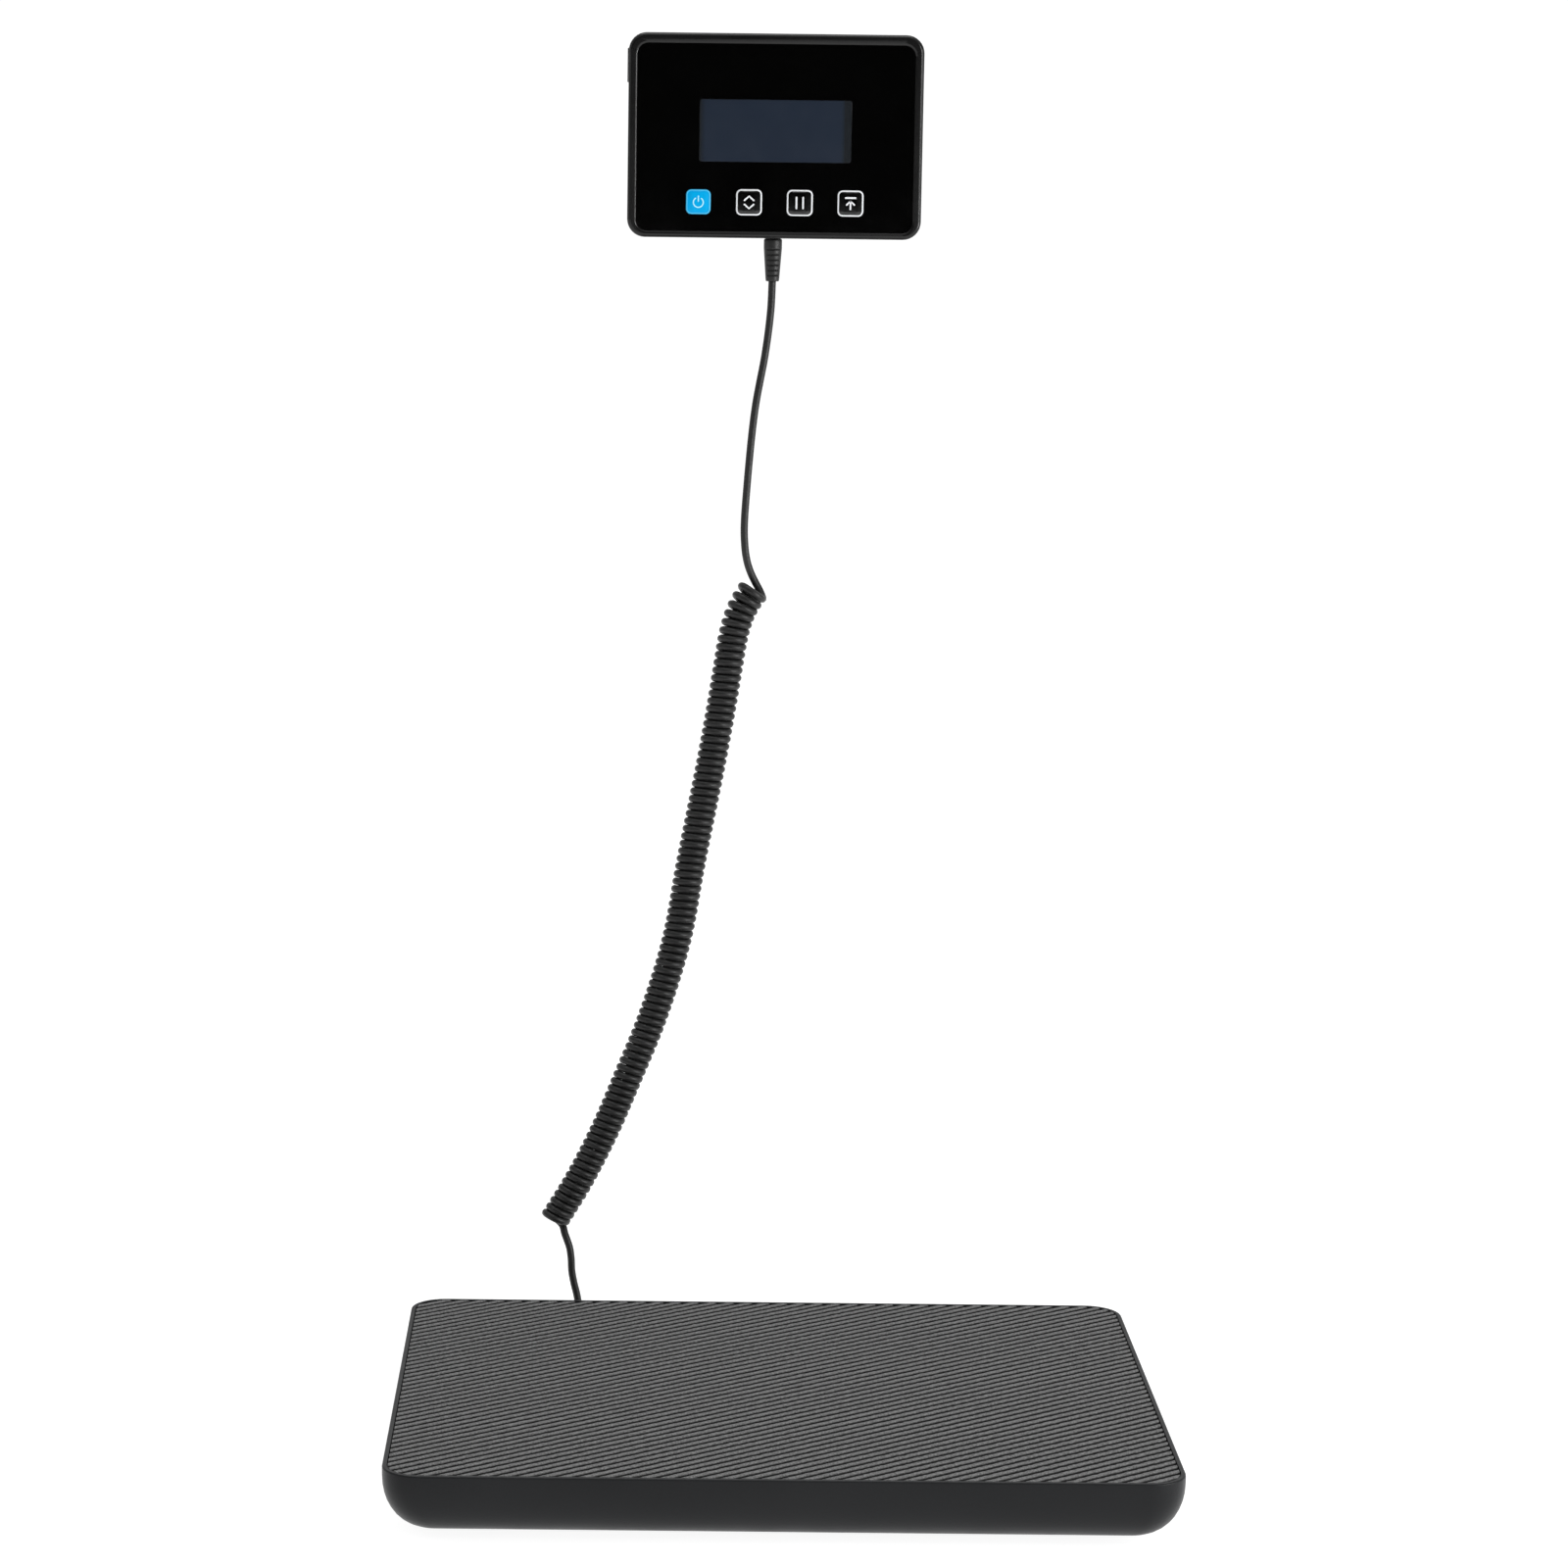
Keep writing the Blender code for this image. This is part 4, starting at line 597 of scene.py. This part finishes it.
def cord_route():
    """Ring centres of the whole cord in metres, from the plug to the gland. The straight stretches
    are bent through a point of the coil, so they run on smoothly from it."""
    inside = 1.0 * MM  # how far each end is hidden in its strain relief
    plug, gland = middle("plug_boot"), middle("cable_gland")
    start = Vector((plug.x, plug.y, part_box("plug_boot")[0].z + inside))
    end = Vector((gland.x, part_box("cable_gland")[1].y - inside, gland.z))
    start, end = (start - PLATFORM) / MM, (end - PLATFORM) / MM
    coil = helix()
    above = [start, *(Vector(p) for p in UPPER_CORD), coil[0], coil[4]]
    below = [coil[-5], coil[-1], *(Vector(p) for p in TAIL_CORD), end]
    upper = spline(above, ROUTE_STEPS)[: -ROUTE_STEPS - 1]
    tail = spline(below, ROUTE_STEPS)[ROUTE_STEPS + 1 :]
    return [PLATFORM + p * MM for p in [*upper, *coil, *tail]]


def tube(name, path, radius, paint, around=10):
    """A closed round tube whose rings don't twist along the path."""
    vertices, faces = [], []
    side = None
    for i, point in enumerate(path):
        ahead = (path[min(i + 1, len(path) - 1)] - path[max(i - 1, 0)]).normalized()
        side = ahead.orthogonal() if side is None else side - side.dot(ahead) * ahead
        side.normalize()
        other = ahead.cross(side)
        for k in range(around):
            angle = 2 * math.pi * k / around
            vertices.append(point + radius * (math.cos(angle) * side + math.sin(angle) * other))
    for i in range(len(path) - 1):
        for k in range(around):
            n = (k + 1) % around
            a, b = i * around, (i + 1) * around
            faces.append((a + k, a + n, b + n, b + k))
    faces.append(tuple(reversed(range(around))))
    faces.append(tuple(range((len(path) - 1) * around, len(path) * around)))
    return add_mesh(name, vertices, faces, paint)


def slotted_boot(name, length, radii, collar, first, slots, pitch):
    """A moulded strain relief along -Z, in millimetres: a plain collar, a taper with slots across its
    front and its back, and a plain end ring."""

    def radius_at(depth):
        return radii[0] + (radii[1] - radii[0]) * max(0.0, (depth - collar) / (length - collar))

    bm = bmesh.new()
    profile = [(0.0, radii[0] - 0.9), (-0.25, radii[0] - 0.3), (-0.8, radii[0])]
    depth = 1.6
    while depth < length - 1.0:
        profile.append((-depth, radius_at(depth)))
        depth += 0.8
    end = radius_at(length)
    profile += [(0.5 - length, end), (0.15 - length, end - 0.15), (-length, end - 0.5)]
    turned(bm, profile, steps=48)
    boot = from_bmesh(name, bm, [PAINTS["cord"]])
    cuts = bmesh.new()
    for number in range(slots):
        depth = first + number * pitch
        reach = radius_at(depth)
        for side in (-1, 1):
            ends = sorted((side * (reach - 1.6), side * (reach + 1.0)))
            outline = rounded(1.56 * reach, pitch * 0.34, pitch * 0.16, 0.0, -depth, steps=3)
            loft(cuts, [(y, outline) for y in ends], "Y")
    carve(boot, from_bmesh("boot_slots", cuts, [PAINTS["cord"]]))
    return bevel(boot, 0.22, 3, 40)


def make_cord():
    route = cord_route()
    cord = tube("curly_cord", route, CORD_RADIUS * MM, PAINTS["cord"])
    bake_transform(cord)
    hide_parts("cord_upper", "cord_coil", "cord_tail")

    low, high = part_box("plug_boot")
    plug = slotted_boot("plug_strain_relief", (high.z - low.z) / MM, (4.85, 3.6), 5.0, 5.7, 6, 2.75)
    centre = middle("plug_boot")
    put(plug, "display", "cord", "plug_boot", at=(centre.x, centre.y, high.z))

    low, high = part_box("cable_gland")
    centre = middle("cable_gland")
    flange = (high.x - low.x) / 2 / MM
    outer = 10.5  # length of the strain relief outside the housing
    boot = slotted_boot("gland_strain_relief", outer, (4.0, 2.8), 1.2, 2.4, 4, 2.0)
    boot.rotation_euler = (math.pi / 2, 0.0, 0.0)
    put(boot, "root", "cord", "cable_gland", at=(centre.x, high.y - outer * MM, centre.z))
    bm = bmesh.new()
    wall = (high.y - low.y) / MM - outer
    profile = [(0.0, flange - 0.5), (0.4, flange), (1.6, flange), (2.0, flange - 0.4), (2.0, 3.5)]
    profile += [(wall - 2.0, 3.5), (wall - 2.0, flange - 0.3), (wall - 1.7, flange)]
    profile += [(wall - 0.5, flange), (wall, flange - 0.5), (wall, 3.0)]
    turned(bm, profile, "Y")
    grommet = from_bmesh("gland_grommet", bm, [PAINTS["cord"]])
    put(grommet, "root", "cord", at=(centre.x, low.y, centre.z))


# ---------------------------------------------------------------- mat

MAT_CORNER = 15.4
MAT_SINK = 0.05  # of the whole top, so that no crest stands above the CAD mat's box
RIB_STEPS = 150  # points along each line of a rib
RIB_PITCH = 5.65
RIB_TURN = math.radians(36.4)  # from the platform's long side
RIB_SWAY = 0.20
RIB_HEAVE = 0.07
CALM_END = 1 / 40  # share of a line, at each end, that sways less and less
CALM_CORNER = 2.0
CORNER_MARGIN = 0.25  # from the first and the last line to the corners that the ribs run past
# One rib, as (offset across it, height from the mat's top)
RIB_PROFILE = (
    (-2.825, -0.95),
    (-1.74, -0.95),
    (-1.54, -0.72),
    (-1.36, -0.22),
    (-1.08, -0.05),
    (-0.54, 0.0),
    (0.0, 0.0),
    (0.54, 0.0),
    (1.08, -0.05),
    (1.36, -0.22),
    (1.54, -0.72),
    (1.74, -0.95),
)
ALONG = np.array((math.cos(RIB_TURN), math.sin(RIB_TURN)))
ACROSS = np.array((-math.sin(RIB_TURN), math.cos(RIB_TURN)))


def crossing(outline, offset):
    """Where a rib's line at an offset across the ribs enters and leaves a convex outline."""
    along, across = outline @ ALONG, outline @ ACROSS
    hits = []
    for i in range(len(outline)):
        j = (i + 1) % len(outline)
        if (across[i] - offset) * (across[j] - offset) < 0:
            share = (offset - across[i]) / (across[j] - across[i])
            hits.append(along[i] + (along[j] - along[i]) * share)
    return (min(hits), max(hits)) if len(hits) >= 2 else None


def waves(u, v, seed):
    """A smooth irregular value between about -1 and 1 from a few crossed waves."""
    total = np.zeros_like(u)
    draw = np.random.default_rng(seed)
    count = 7
    for _ in range(count):
        turn, length = draw.uniform(0, math.pi), draw.uniform(2.6, 9.0)
        phase = draw.uniform(0, 2 * math.pi)
        total += np.sin((u * math.cos(turn) + v * math.sin(turn)) * 2 * math.pi / length + phase)
    return total / count**0.5 / 1.4


def make_mat():
    """The deck mat: slanting ribs in one rubber sheet, a little uneven along their length."""
    low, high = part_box("deck_mat")
    width, depth, thick = (high - low) / MM
    outline = np.array(rounded(width, depth, MAT_CORNER, steps=16))
    reach = (outline @ ACROSS).max()
    lines = []
    rib = -math.ceil(reach / RIB_PITCH)
    while rib * RIB_PITCH - RIB_PITCH / 2 < reach:
        for offset, height in RIB_PROFILE:
            across = rib * RIB_PITCH + offset
            if abs(across) < reach - CORNER_MARGIN:
                lines.append((across, height))
        rib += 1
    share = np.linspace(0.0, 1.0, RIB_STEPS)
    grid_u, grid_v, grid_h = [], [], []
    for across, height in lines:
        start, end = crossing(outline, across)
        grid_u.append(start + (end - start) * share)
        grid_v.append(np.full(RIB_STEPS, across))
        grid_h.append(np.full(RIB_STEPS, height))
    u, v, h = np.array(grid_u), np.array(grid_v), np.array(grid_h)
    inner = np.minimum(1.0, np.minimum(share, 1 - share)[None, :] / CALM_END)
    calm = inner * np.clip((reach - CORNER_MARGIN - np.abs(v)) / CALM_CORNER, 0.0, 1.0)
    v_moved = v + RIB_SWAY * waves(u, v * 0.35, 11) * calm
    h_moved = h + RIB_HEAVE * waves(u * 1.3, v, 5) * calm - MAT_SINK
    x, y = (u * ALONG[axis] + v_moved * ACROSS[axis] for axis in (0, 1))
    rows, columns = x.shape
    top = np.stack([x, y, thick + h_moved], -1).reshape(-1, 3)
    ring = [(0, c) for c in range(columns)]
    ring += [(r, columns - 1) for r in range(1, rows)]
    ring += [(rows - 1, c) for c in range(columns - 2, -1, -1)]
    ring += [(r, 0) for r in range(rows - 2, 0, -1)]
    rim = [r * columns + c for r, c in ring]
    bottom = top[rim].copy()
    bottom[:, 2] = 0.0
    vertices = np.concatenate([top, bottom]) * MM
    faces = []
    for r in range(rows - 1):
        for c in range(columns - 1):
            a = r * columns + c
            faces.append((a, a + 1, a + columns + 1, a + columns))
    base = len(top)
    for i in range(len(rim)):
        j = (i + 1) % len(rim)
        faces.append((rim[j], rim[i], base + i, base + j))
    faces.append(tuple(base + i for i in reversed(range(len(rim)))))
    mat = add_mesh("ribbed_mat", vertices, faces, PAINTS["deck"])
    bm = bmesh.new()
    bm.from_mesh(mat.data)
    face_outwards(bm)
    bm.to_mesh(mat.data)
    bm.free()
    mat.data.set_sharp_from_angle(angle=math.radians(62))
    centre = (low + high) / 2
    put(mat, "root", "rubber", "deck_mat", at=(centre.x, centre.y, low.z))


# ---------------------------------------------------------------- keys

KEY_CORNER = 2.8
KEY_LIP = 1.4  # how far the hidden flange stands out round the cap
FLANGE_THICKNESS = 1.1
CAP, RIM, MARK = 0, 1, 2  # the keys' material numbers


def ribbon(bm, points, width, front, back):
    """A flat stroke with round ends along x, z points in millimetres, as a thin solid."""
    points = [Vector(p) for p in points]
    left, right = [], []
    for i, point in enumerate(points):
        ahead = (points[min(i + 1, len(points) - 1)] - points[max(i - 1, 0)]).normalized()
        across = Vector((-ahead.y, ahead.x)) * width / 2
        left.append(point + across)
        right.append(point - across)

    def cap(centre, start):
        turns = [math.pi * step / 6 for step in range(1, 6)]
        return [centre + Matrix.Rotation(-a, 2) @ (start - centre) for a in turns]

    outline = [*left, *cap(points[-1], left[-1]), *reversed(right), *cap(points[0], right[0])]
    loft(bm, [(front, outline), (back, outline)], "Y", paints=[MARK, MARK])


def glyph(name):
    """Strokes of a plain sign, in millimetres: the power sign, up and down for the unit, two bars
    for hold, or an arrow up to a bar for tare."""
    if name == "power":
        radius, drop = 2.6, 0.3
        angles = [math.radians(a) for a in range(124, 417, 9)]
        arc = [(radius * math.cos(a), radius * math.sin(a) - drop) for a in angles]
        return [arc, [(0.0, 3.0), (0.0, 0.3)]]
    if name == "unit":
        return [[(-2.4, end * 1.1), (0.0, end * 3.2), (2.4, end * 1.1)] for end in (1, -1)]
    if name == "hold":
        return [[(side * 1.75, -2.8), (side * 1.75, 2.8)] for side in (-1, 1)]
    bar, shaft = [(-2.6, 2.9), (2.6, 2.9)], [(0.0, 1.2), (0.0, -3.0)]
    return [bar, shaft, [(-2.0, -0.7), (0.0, 1.3), (2.0, -0.7)]]


def make_key(name):
    """A pillow-shaped keycap with a raised frame round its edge and a sign on its face."""
    node = f"key_{name}"
    low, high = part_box(node)
    centre = (low + high) / 2
    flange = (high.x - low.x) / MM
    side = flange - 2 * KEY_LIP
    depth = (high.y - low.y) / MM
    azure = name == "power"
    frame_wide, stroke_wide = (0.75, 0.62) if azure else (0.80, 0.92)

    def square(inset, sides=0.0):
        corner = max(KEY_CORNER - inset, 0.5)
        return rounded(side - 2 * inset - 2 * sides, side - 2 * inset, corner, steps=10)

    # From the flange's back to the face: depth from the face, outline, and material of the band
    # in front of it
    wide = rounded(flange, flange, KEY_CORNER, steps=10)
    shoulder = depth - FLANGE_THICKNESS
    inner = frame_wide + 0.30
    levels = [
        (depth, wide, CAP),
        (shoulder, wide, CAP),
        (shoulder, square(0.0), CAP),
        (0.62, square(0.0), RIM),
        (0.34, square(0.10), RIM),
        (0.24, square(0.24), RIM),
        (0.24, square(frame_wide), CAP),
        (0.44, square(frame_wide + 0.05), CAP),
        (0.44, square(frame_wide + 0.16), CAP),
        (0.40, square(inner), CAP),
        (0.14, square(inner + 0.12, 1.5), CAP),
        (0.06, square(inner + 0.20, 1.9), CAP),
        (0.03, square(inner + 0.30, 2.3), CAP),
    ]
    bm = bmesh.new()
    loft(bm, [level[:2] for level in levels], "Y", paints=[level[2] for level in levels])
    for stroke in glyph(name):
        ribbon(bm, stroke, stroke_wide, -0.045, 0.16)
    slot = "power_key" if azure else "keys"
    # The white frames and signs are print. The power key's lighter azure frame is a painted highlight
    # of its edge.
    rim, mark = (AZURE_RIM_HIGHLIGHT, CYAN_PRINT) if azure else (WHITE_PRINT, WHITE_PRINT)
    key = from_bmesh(f"{node}_cap", bm, [PAINTS[slot], rim, mark], sharp=50)
    put(key, node, slot, node, at=(centre.x, low.y, centre.z))


# ---------------------------------------------------------------- screws, feet and fittings


HEAD_RADIUS = 2.8
HEAD_HEIGHT = 2.2
SHAFT_RADIUS = 1.4
THREAD_PITCH = 0.62


def make_screw(name, node, body):
    """A cross-recessed screw in the place of its CAD node: in the base its head is underneath, and
    in the display it is at the back."""
    low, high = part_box(node)
    centre = (low + high) / 2
    upright = body == "root"
    length = (high.z - low.z if upright else high.y - low.y) / MM
    head, shaft = HEAD_RADIUS, SHAFT_RADIUS
    dome = [(0.0, head * 0.55), (0.12 * HEAD_HEIGHT, head * 0.8), (0.4 * HEAD_HEIGHT, head * 0.97)]
    dome += [(0.62 * HEAD_HEIGHT, head), (HEAD_HEIGHT, head), (HEAD_HEIGHT, shaft)]
    depth = HEAD_HEIGHT + 0.8
    while depth < length - 1.2:
        dome += [(depth, shaft * 0.82), (depth + 0.28, shaft), (depth + 0.34, shaft)]
        depth += THREAD_PITCH
    dome += [(length - 0.6, shaft * 0.7), (length, shaft * 0.3)]
    bm = bmesh.new()
    turned(bm, dome, steps=28)
    screw = from_bmesh(name, bm, [PAINTS["screws"]], sharp=45)
    cuts = bmesh.new()
    arm, thick = head * 0.55, head * 0.13
    quarter = [(arm, thick), (thick, thick), (thick, arm)]
    cross = list(quarter)
    for _ in range(3):
        quarter = [(-y, x) for x, y in quarter]
        cross += quarter
    small = [(x * 0.55, y * 0.55) for x, y in cross]
    loft(cuts, [(-0.5, cross), (0.1, cross), (0.75 * HEAD_HEIGHT, small)])
    carve(screw, from_bmesh("recess", cuts, [PAINTS["screws"]]))
    # The screws' crosses are turned by where they are, as no two are driven home alike.
    if upright:
        centre.z = low.z
        screw.rotation_euler = (0.0, 0.0, 0.4 * centre.x / MM)
    else:
        centre.y = high.y
        screw.rotation_euler = (math.pi / 2, 0.3 * centre.z / MM, 0.0)
    put(screw, body, "screws", node, at=centre)


def make_foot_pad(number):
    """A round rubber pad with three rings in its underside and a slightly rolled edge."""
    node = f"foot_pad_{number}"
    low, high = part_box(node)
    centre = (low + high) / 2
    radius = (high.x - low.x) / 2 / MM
    thick = (high.z - low.z) / MM
    groove = 0.45
    profile = [(groove, 0.8)]
    for ring in (3.2, 6.2, 9.2):
        profile += [(groove, ring - 0.9), (0.0, ring - 0.5), (0.0, ring + 0.9), (groove, ring + 1.3)]
    profile += [(groove, radius - 1.6), (0.0, radius - 1.2)]
    profile += [(0.12, radius - 0.5), (0.5, radius - 0.1)]
    profile += [(0.9, radius), (thick - 0.2, radius), (thick, radius - 0.2)]
    bm = bmesh.new()
    turned(bm, profile, steps=56)
    pad = from_bmesh(f"{node}_ringed", bm, [PAINTS["rubber"]], sharp=30)
    put(pad, "root", "rubber", node, at=(centre.x, centre.y, low.z))


def make_door_grip():
    """Five grip bars and an arrow near the battery door's upper edge."""
    low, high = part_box("battery_door")
    centre = (low + high) / 2
    bm = bmesh.new()
    width = 16.0
    for row in range(5):
        z = -row * 1.7
        outline = rounded(width, 0.8, 0.39, 0.0, z, steps=4)
        small = rounded(width - 0.4, 0.4, 0.19, 0.0, z, steps=4)
        loft(bm, [(-0.3, outline), (0.25, outline), (0.45, small)], "Y")
    arrow = [(0.0, 5.2), (-2.6, 2.2), (2.6, 2.2)]
    loft(bm, [(-0.3, arrow), (0.3, arrow)], "Y")
    grip = from_bmesh("door_grip", bm, [PAINTS["display_shell"]], sharp=40)
    put(grip, "battery_door", "display_shell", at=(centre.x, high.y, high.z - 9.0 * MM))


def make_fittings():
    for number in range(1, 7):
        make_screw(f"base_screw_{number}_cross", f"base_screw_{number}", "root")
    for number in range(1, 5):
        make_screw(f"shell_screw_{number}_cross", f"display_screw_{number}", "display")
        make_foot_pad(number)
    make_door_grip()


# ---------------------------------------------------------------- CAD nodes that stay

# How far each piece's edges are rounded
EDGE_WIDTH = 0.15
EDGE_WIDTHS = {
    "platform_housing": 0.25,
    "base_plate": 0.3,
    "display_front": 0.35,
    "display_back": 0.3,
    "front_panel": 0.12,
    "wall_bracket": 0.3,
    "battery_door": 0.25,
    "jack_socket": 0.2,
    "main_board": 0.05,
    "junction_board": 0.1,
}


def dress(node):
    """Gives a CAD node its finish, welds its faces for smooth shading and softens its edges."""
    obj = NODES[node]
    subparts = frame["record"]["subparts"]
    slot = next(part["material_slot"] for part in subparts if part["node"] == node)
    obj.data.materials.clear()
    obj.data.materials.append(PAINTS[slot])
    if "custom_normal" in obj.data.attributes:
        obj.data.attributes.remove(obj.data.attributes["custom_normal"])
    obj.data.shade_smooth()
    weld = obj.modifiers.new("weld", "WELD")
    weld.merge_threshold = 0.005 * MM
    flat = obj.modifiers.new("flat", "DECIMATE")
    flat.decimate_type = "DISSOLVE"
    flat.angle_limit = math.radians(0.4)
    bevel(obj, EDGE_WIDTHS.get(node, EDGE_WIDTH))


# ---------------------------------------------------------------- studio


FLOOR_RADIUS = 12000.0
FLOOR_THICKNESS = 40.0
FLOOR_GAP = 0.2  # below the feet
# Place, the point that it faces, width and height in metres, and watts
LIGHTS = {
    "key_light": ((1.30, -1.50, 1.00), (0.0, 0.0, 0.3), (0.5, 0.7), 11),
    "strip_light": ((1.80, -0.50, 0.60), (0.0, 0.0, 0.4), (0.4, 1.2), 9),
    "low_light": ((1.55, -1.15, 0.30), (0.0, 0.0, 0.20), (0.25, 0.50), 11),
    "top_light": ((0.0, 0.10, 2.20), (0.0, 0.0, 0.0), (1.3, 0.7), 11),
    "left_light": ((-1.70, -0.60, 0.90), (0.0, 0.0, 0.3), (0.4, 1.2), 2.5),
}


def make_floor():
    """A white floor that glows a little, so that it meets the white background unseen."""
    bm = bmesh.new()
    turned(bm, [(-FLOOR_THICKNESS, FLOOR_RADIUS), (0.0, FLOOR_RADIUS)], steps=96)
    paint = Paint("floor_finish", 0.9, Specular_IOR_Level=0.1, Emission_Strength=0.90)
    paint.shader.inputs["Emission Color"].default_value = (1.0, 1.0, 1.0, 1.0)
    paint.mottle(grey(0.34), grey(0.36), 400).bump(paint.noise(3.0), 0.01)
    floor = from_bmesh("floor", bm, [paint.material])
    floor.location = (0.0, 0.0, -FLOOR_GAP * MM)


def make_world():
    """White to the camera. Other rays see a soft glow from behind and above, dim towards the
    front."""
    world = bpy.data.worlds.new("studio")
    bpy.context.scene.world = world
    world.use_nodes = True
    tree = world.node_tree
    nodes, links = tree.nodes, tree.links
    place = nodes.new("ShaderNodeTexCoord")
    split = nodes.new("ShaderNodeSeparateXYZ")
    links.new(place.outputs["Generated"], split.inputs["Vector"])

    def ramp(value, low, high, out_low, out_high):
        made = nodes.new("ShaderNodeMapRange")
        made.interpolation_type = "SMOOTHSTEP"
        links.new(value, made.inputs["Value"])
        numbers = {"From Min": low, "From Max": high, "To Min": out_low, "To Max": out_high}
        for socket, number in numbers.items():
            made.inputs[socket].default_value = number
        return made.outputs["Result"]

    def combined(operation, one, two):
        made = nodes.new("ShaderNodeMath")
        made.operation = operation
        links.new(one, made.inputs[0])
        links.new(two, made.inputs[1])
        return made.outputs[0]

    above = ramp(split.outputs["Z"], -0.1, 0.8, 0.75, 0.60)
    forward = ramp(split.outputs["Y"], -0.5, 0.85, 0.012, 1.0)
    high = ramp(split.outputs["Z"], 0.25, 0.7, 0.0, 1.0)
    largest = combined("MAXIMUM", forward, high)
    glow = nodes.new("ShaderNodeBackground")
    links.new(combined("MULTIPLY", above, largest), glow.inputs["Strength"])
    white = nodes.new("ShaderNodeBackground")
    for shade in (glow, white):
        shade.inputs["Color"].default_value = (1.0, 1.0, 1.0, 1.0)
    white.inputs["Strength"].default_value = 1.05
    rays = nodes.new("ShaderNodeLightPath")
    mix = nodes.new("ShaderNodeMixShader")
    links.new(rays.outputs["Is Camera Ray"], mix.inputs["Fac"])
    links.new(glow.outputs[0], mix.inputs[1])
    links.new(white.outputs[0], mix.inputs[2])
    links.new(mix.outputs[0], nodes["World Output"].inputs["Surface"])
    bpy.context.scene.view_settings.view_transform = "Standard"


def make_light(name, place, target, size, power):
    data = bpy.data.lights.new(name, "AREA")
    data.shape = "RECTANGLE"
    data.size, data.size_y = size
    data.energy = power
    light = bpy.data.objects.new(name, data)
    bpy.context.scene.collection.objects.link(light)
    direction = Vector(target) - Vector(place)
    turn = direction.to_track_quat("-Z", "Y").to_matrix().to_4x4()
    light.matrix_world = Matrix.Translation(place) @ turn


def make_studio():
    make_floor()
    make_world()
    for name, settings in LIGHTS.items():
        make_light(name, *settings)


# ---------------------------------------------------------------- everything

make_camera()
make_cord()
make_mat()
for key_name in ("power", "unit", "hold", "tare"):
    make_key(key_name)
make_fittings()
for node_name in NODES:
    dress(node_name)
make_studio()
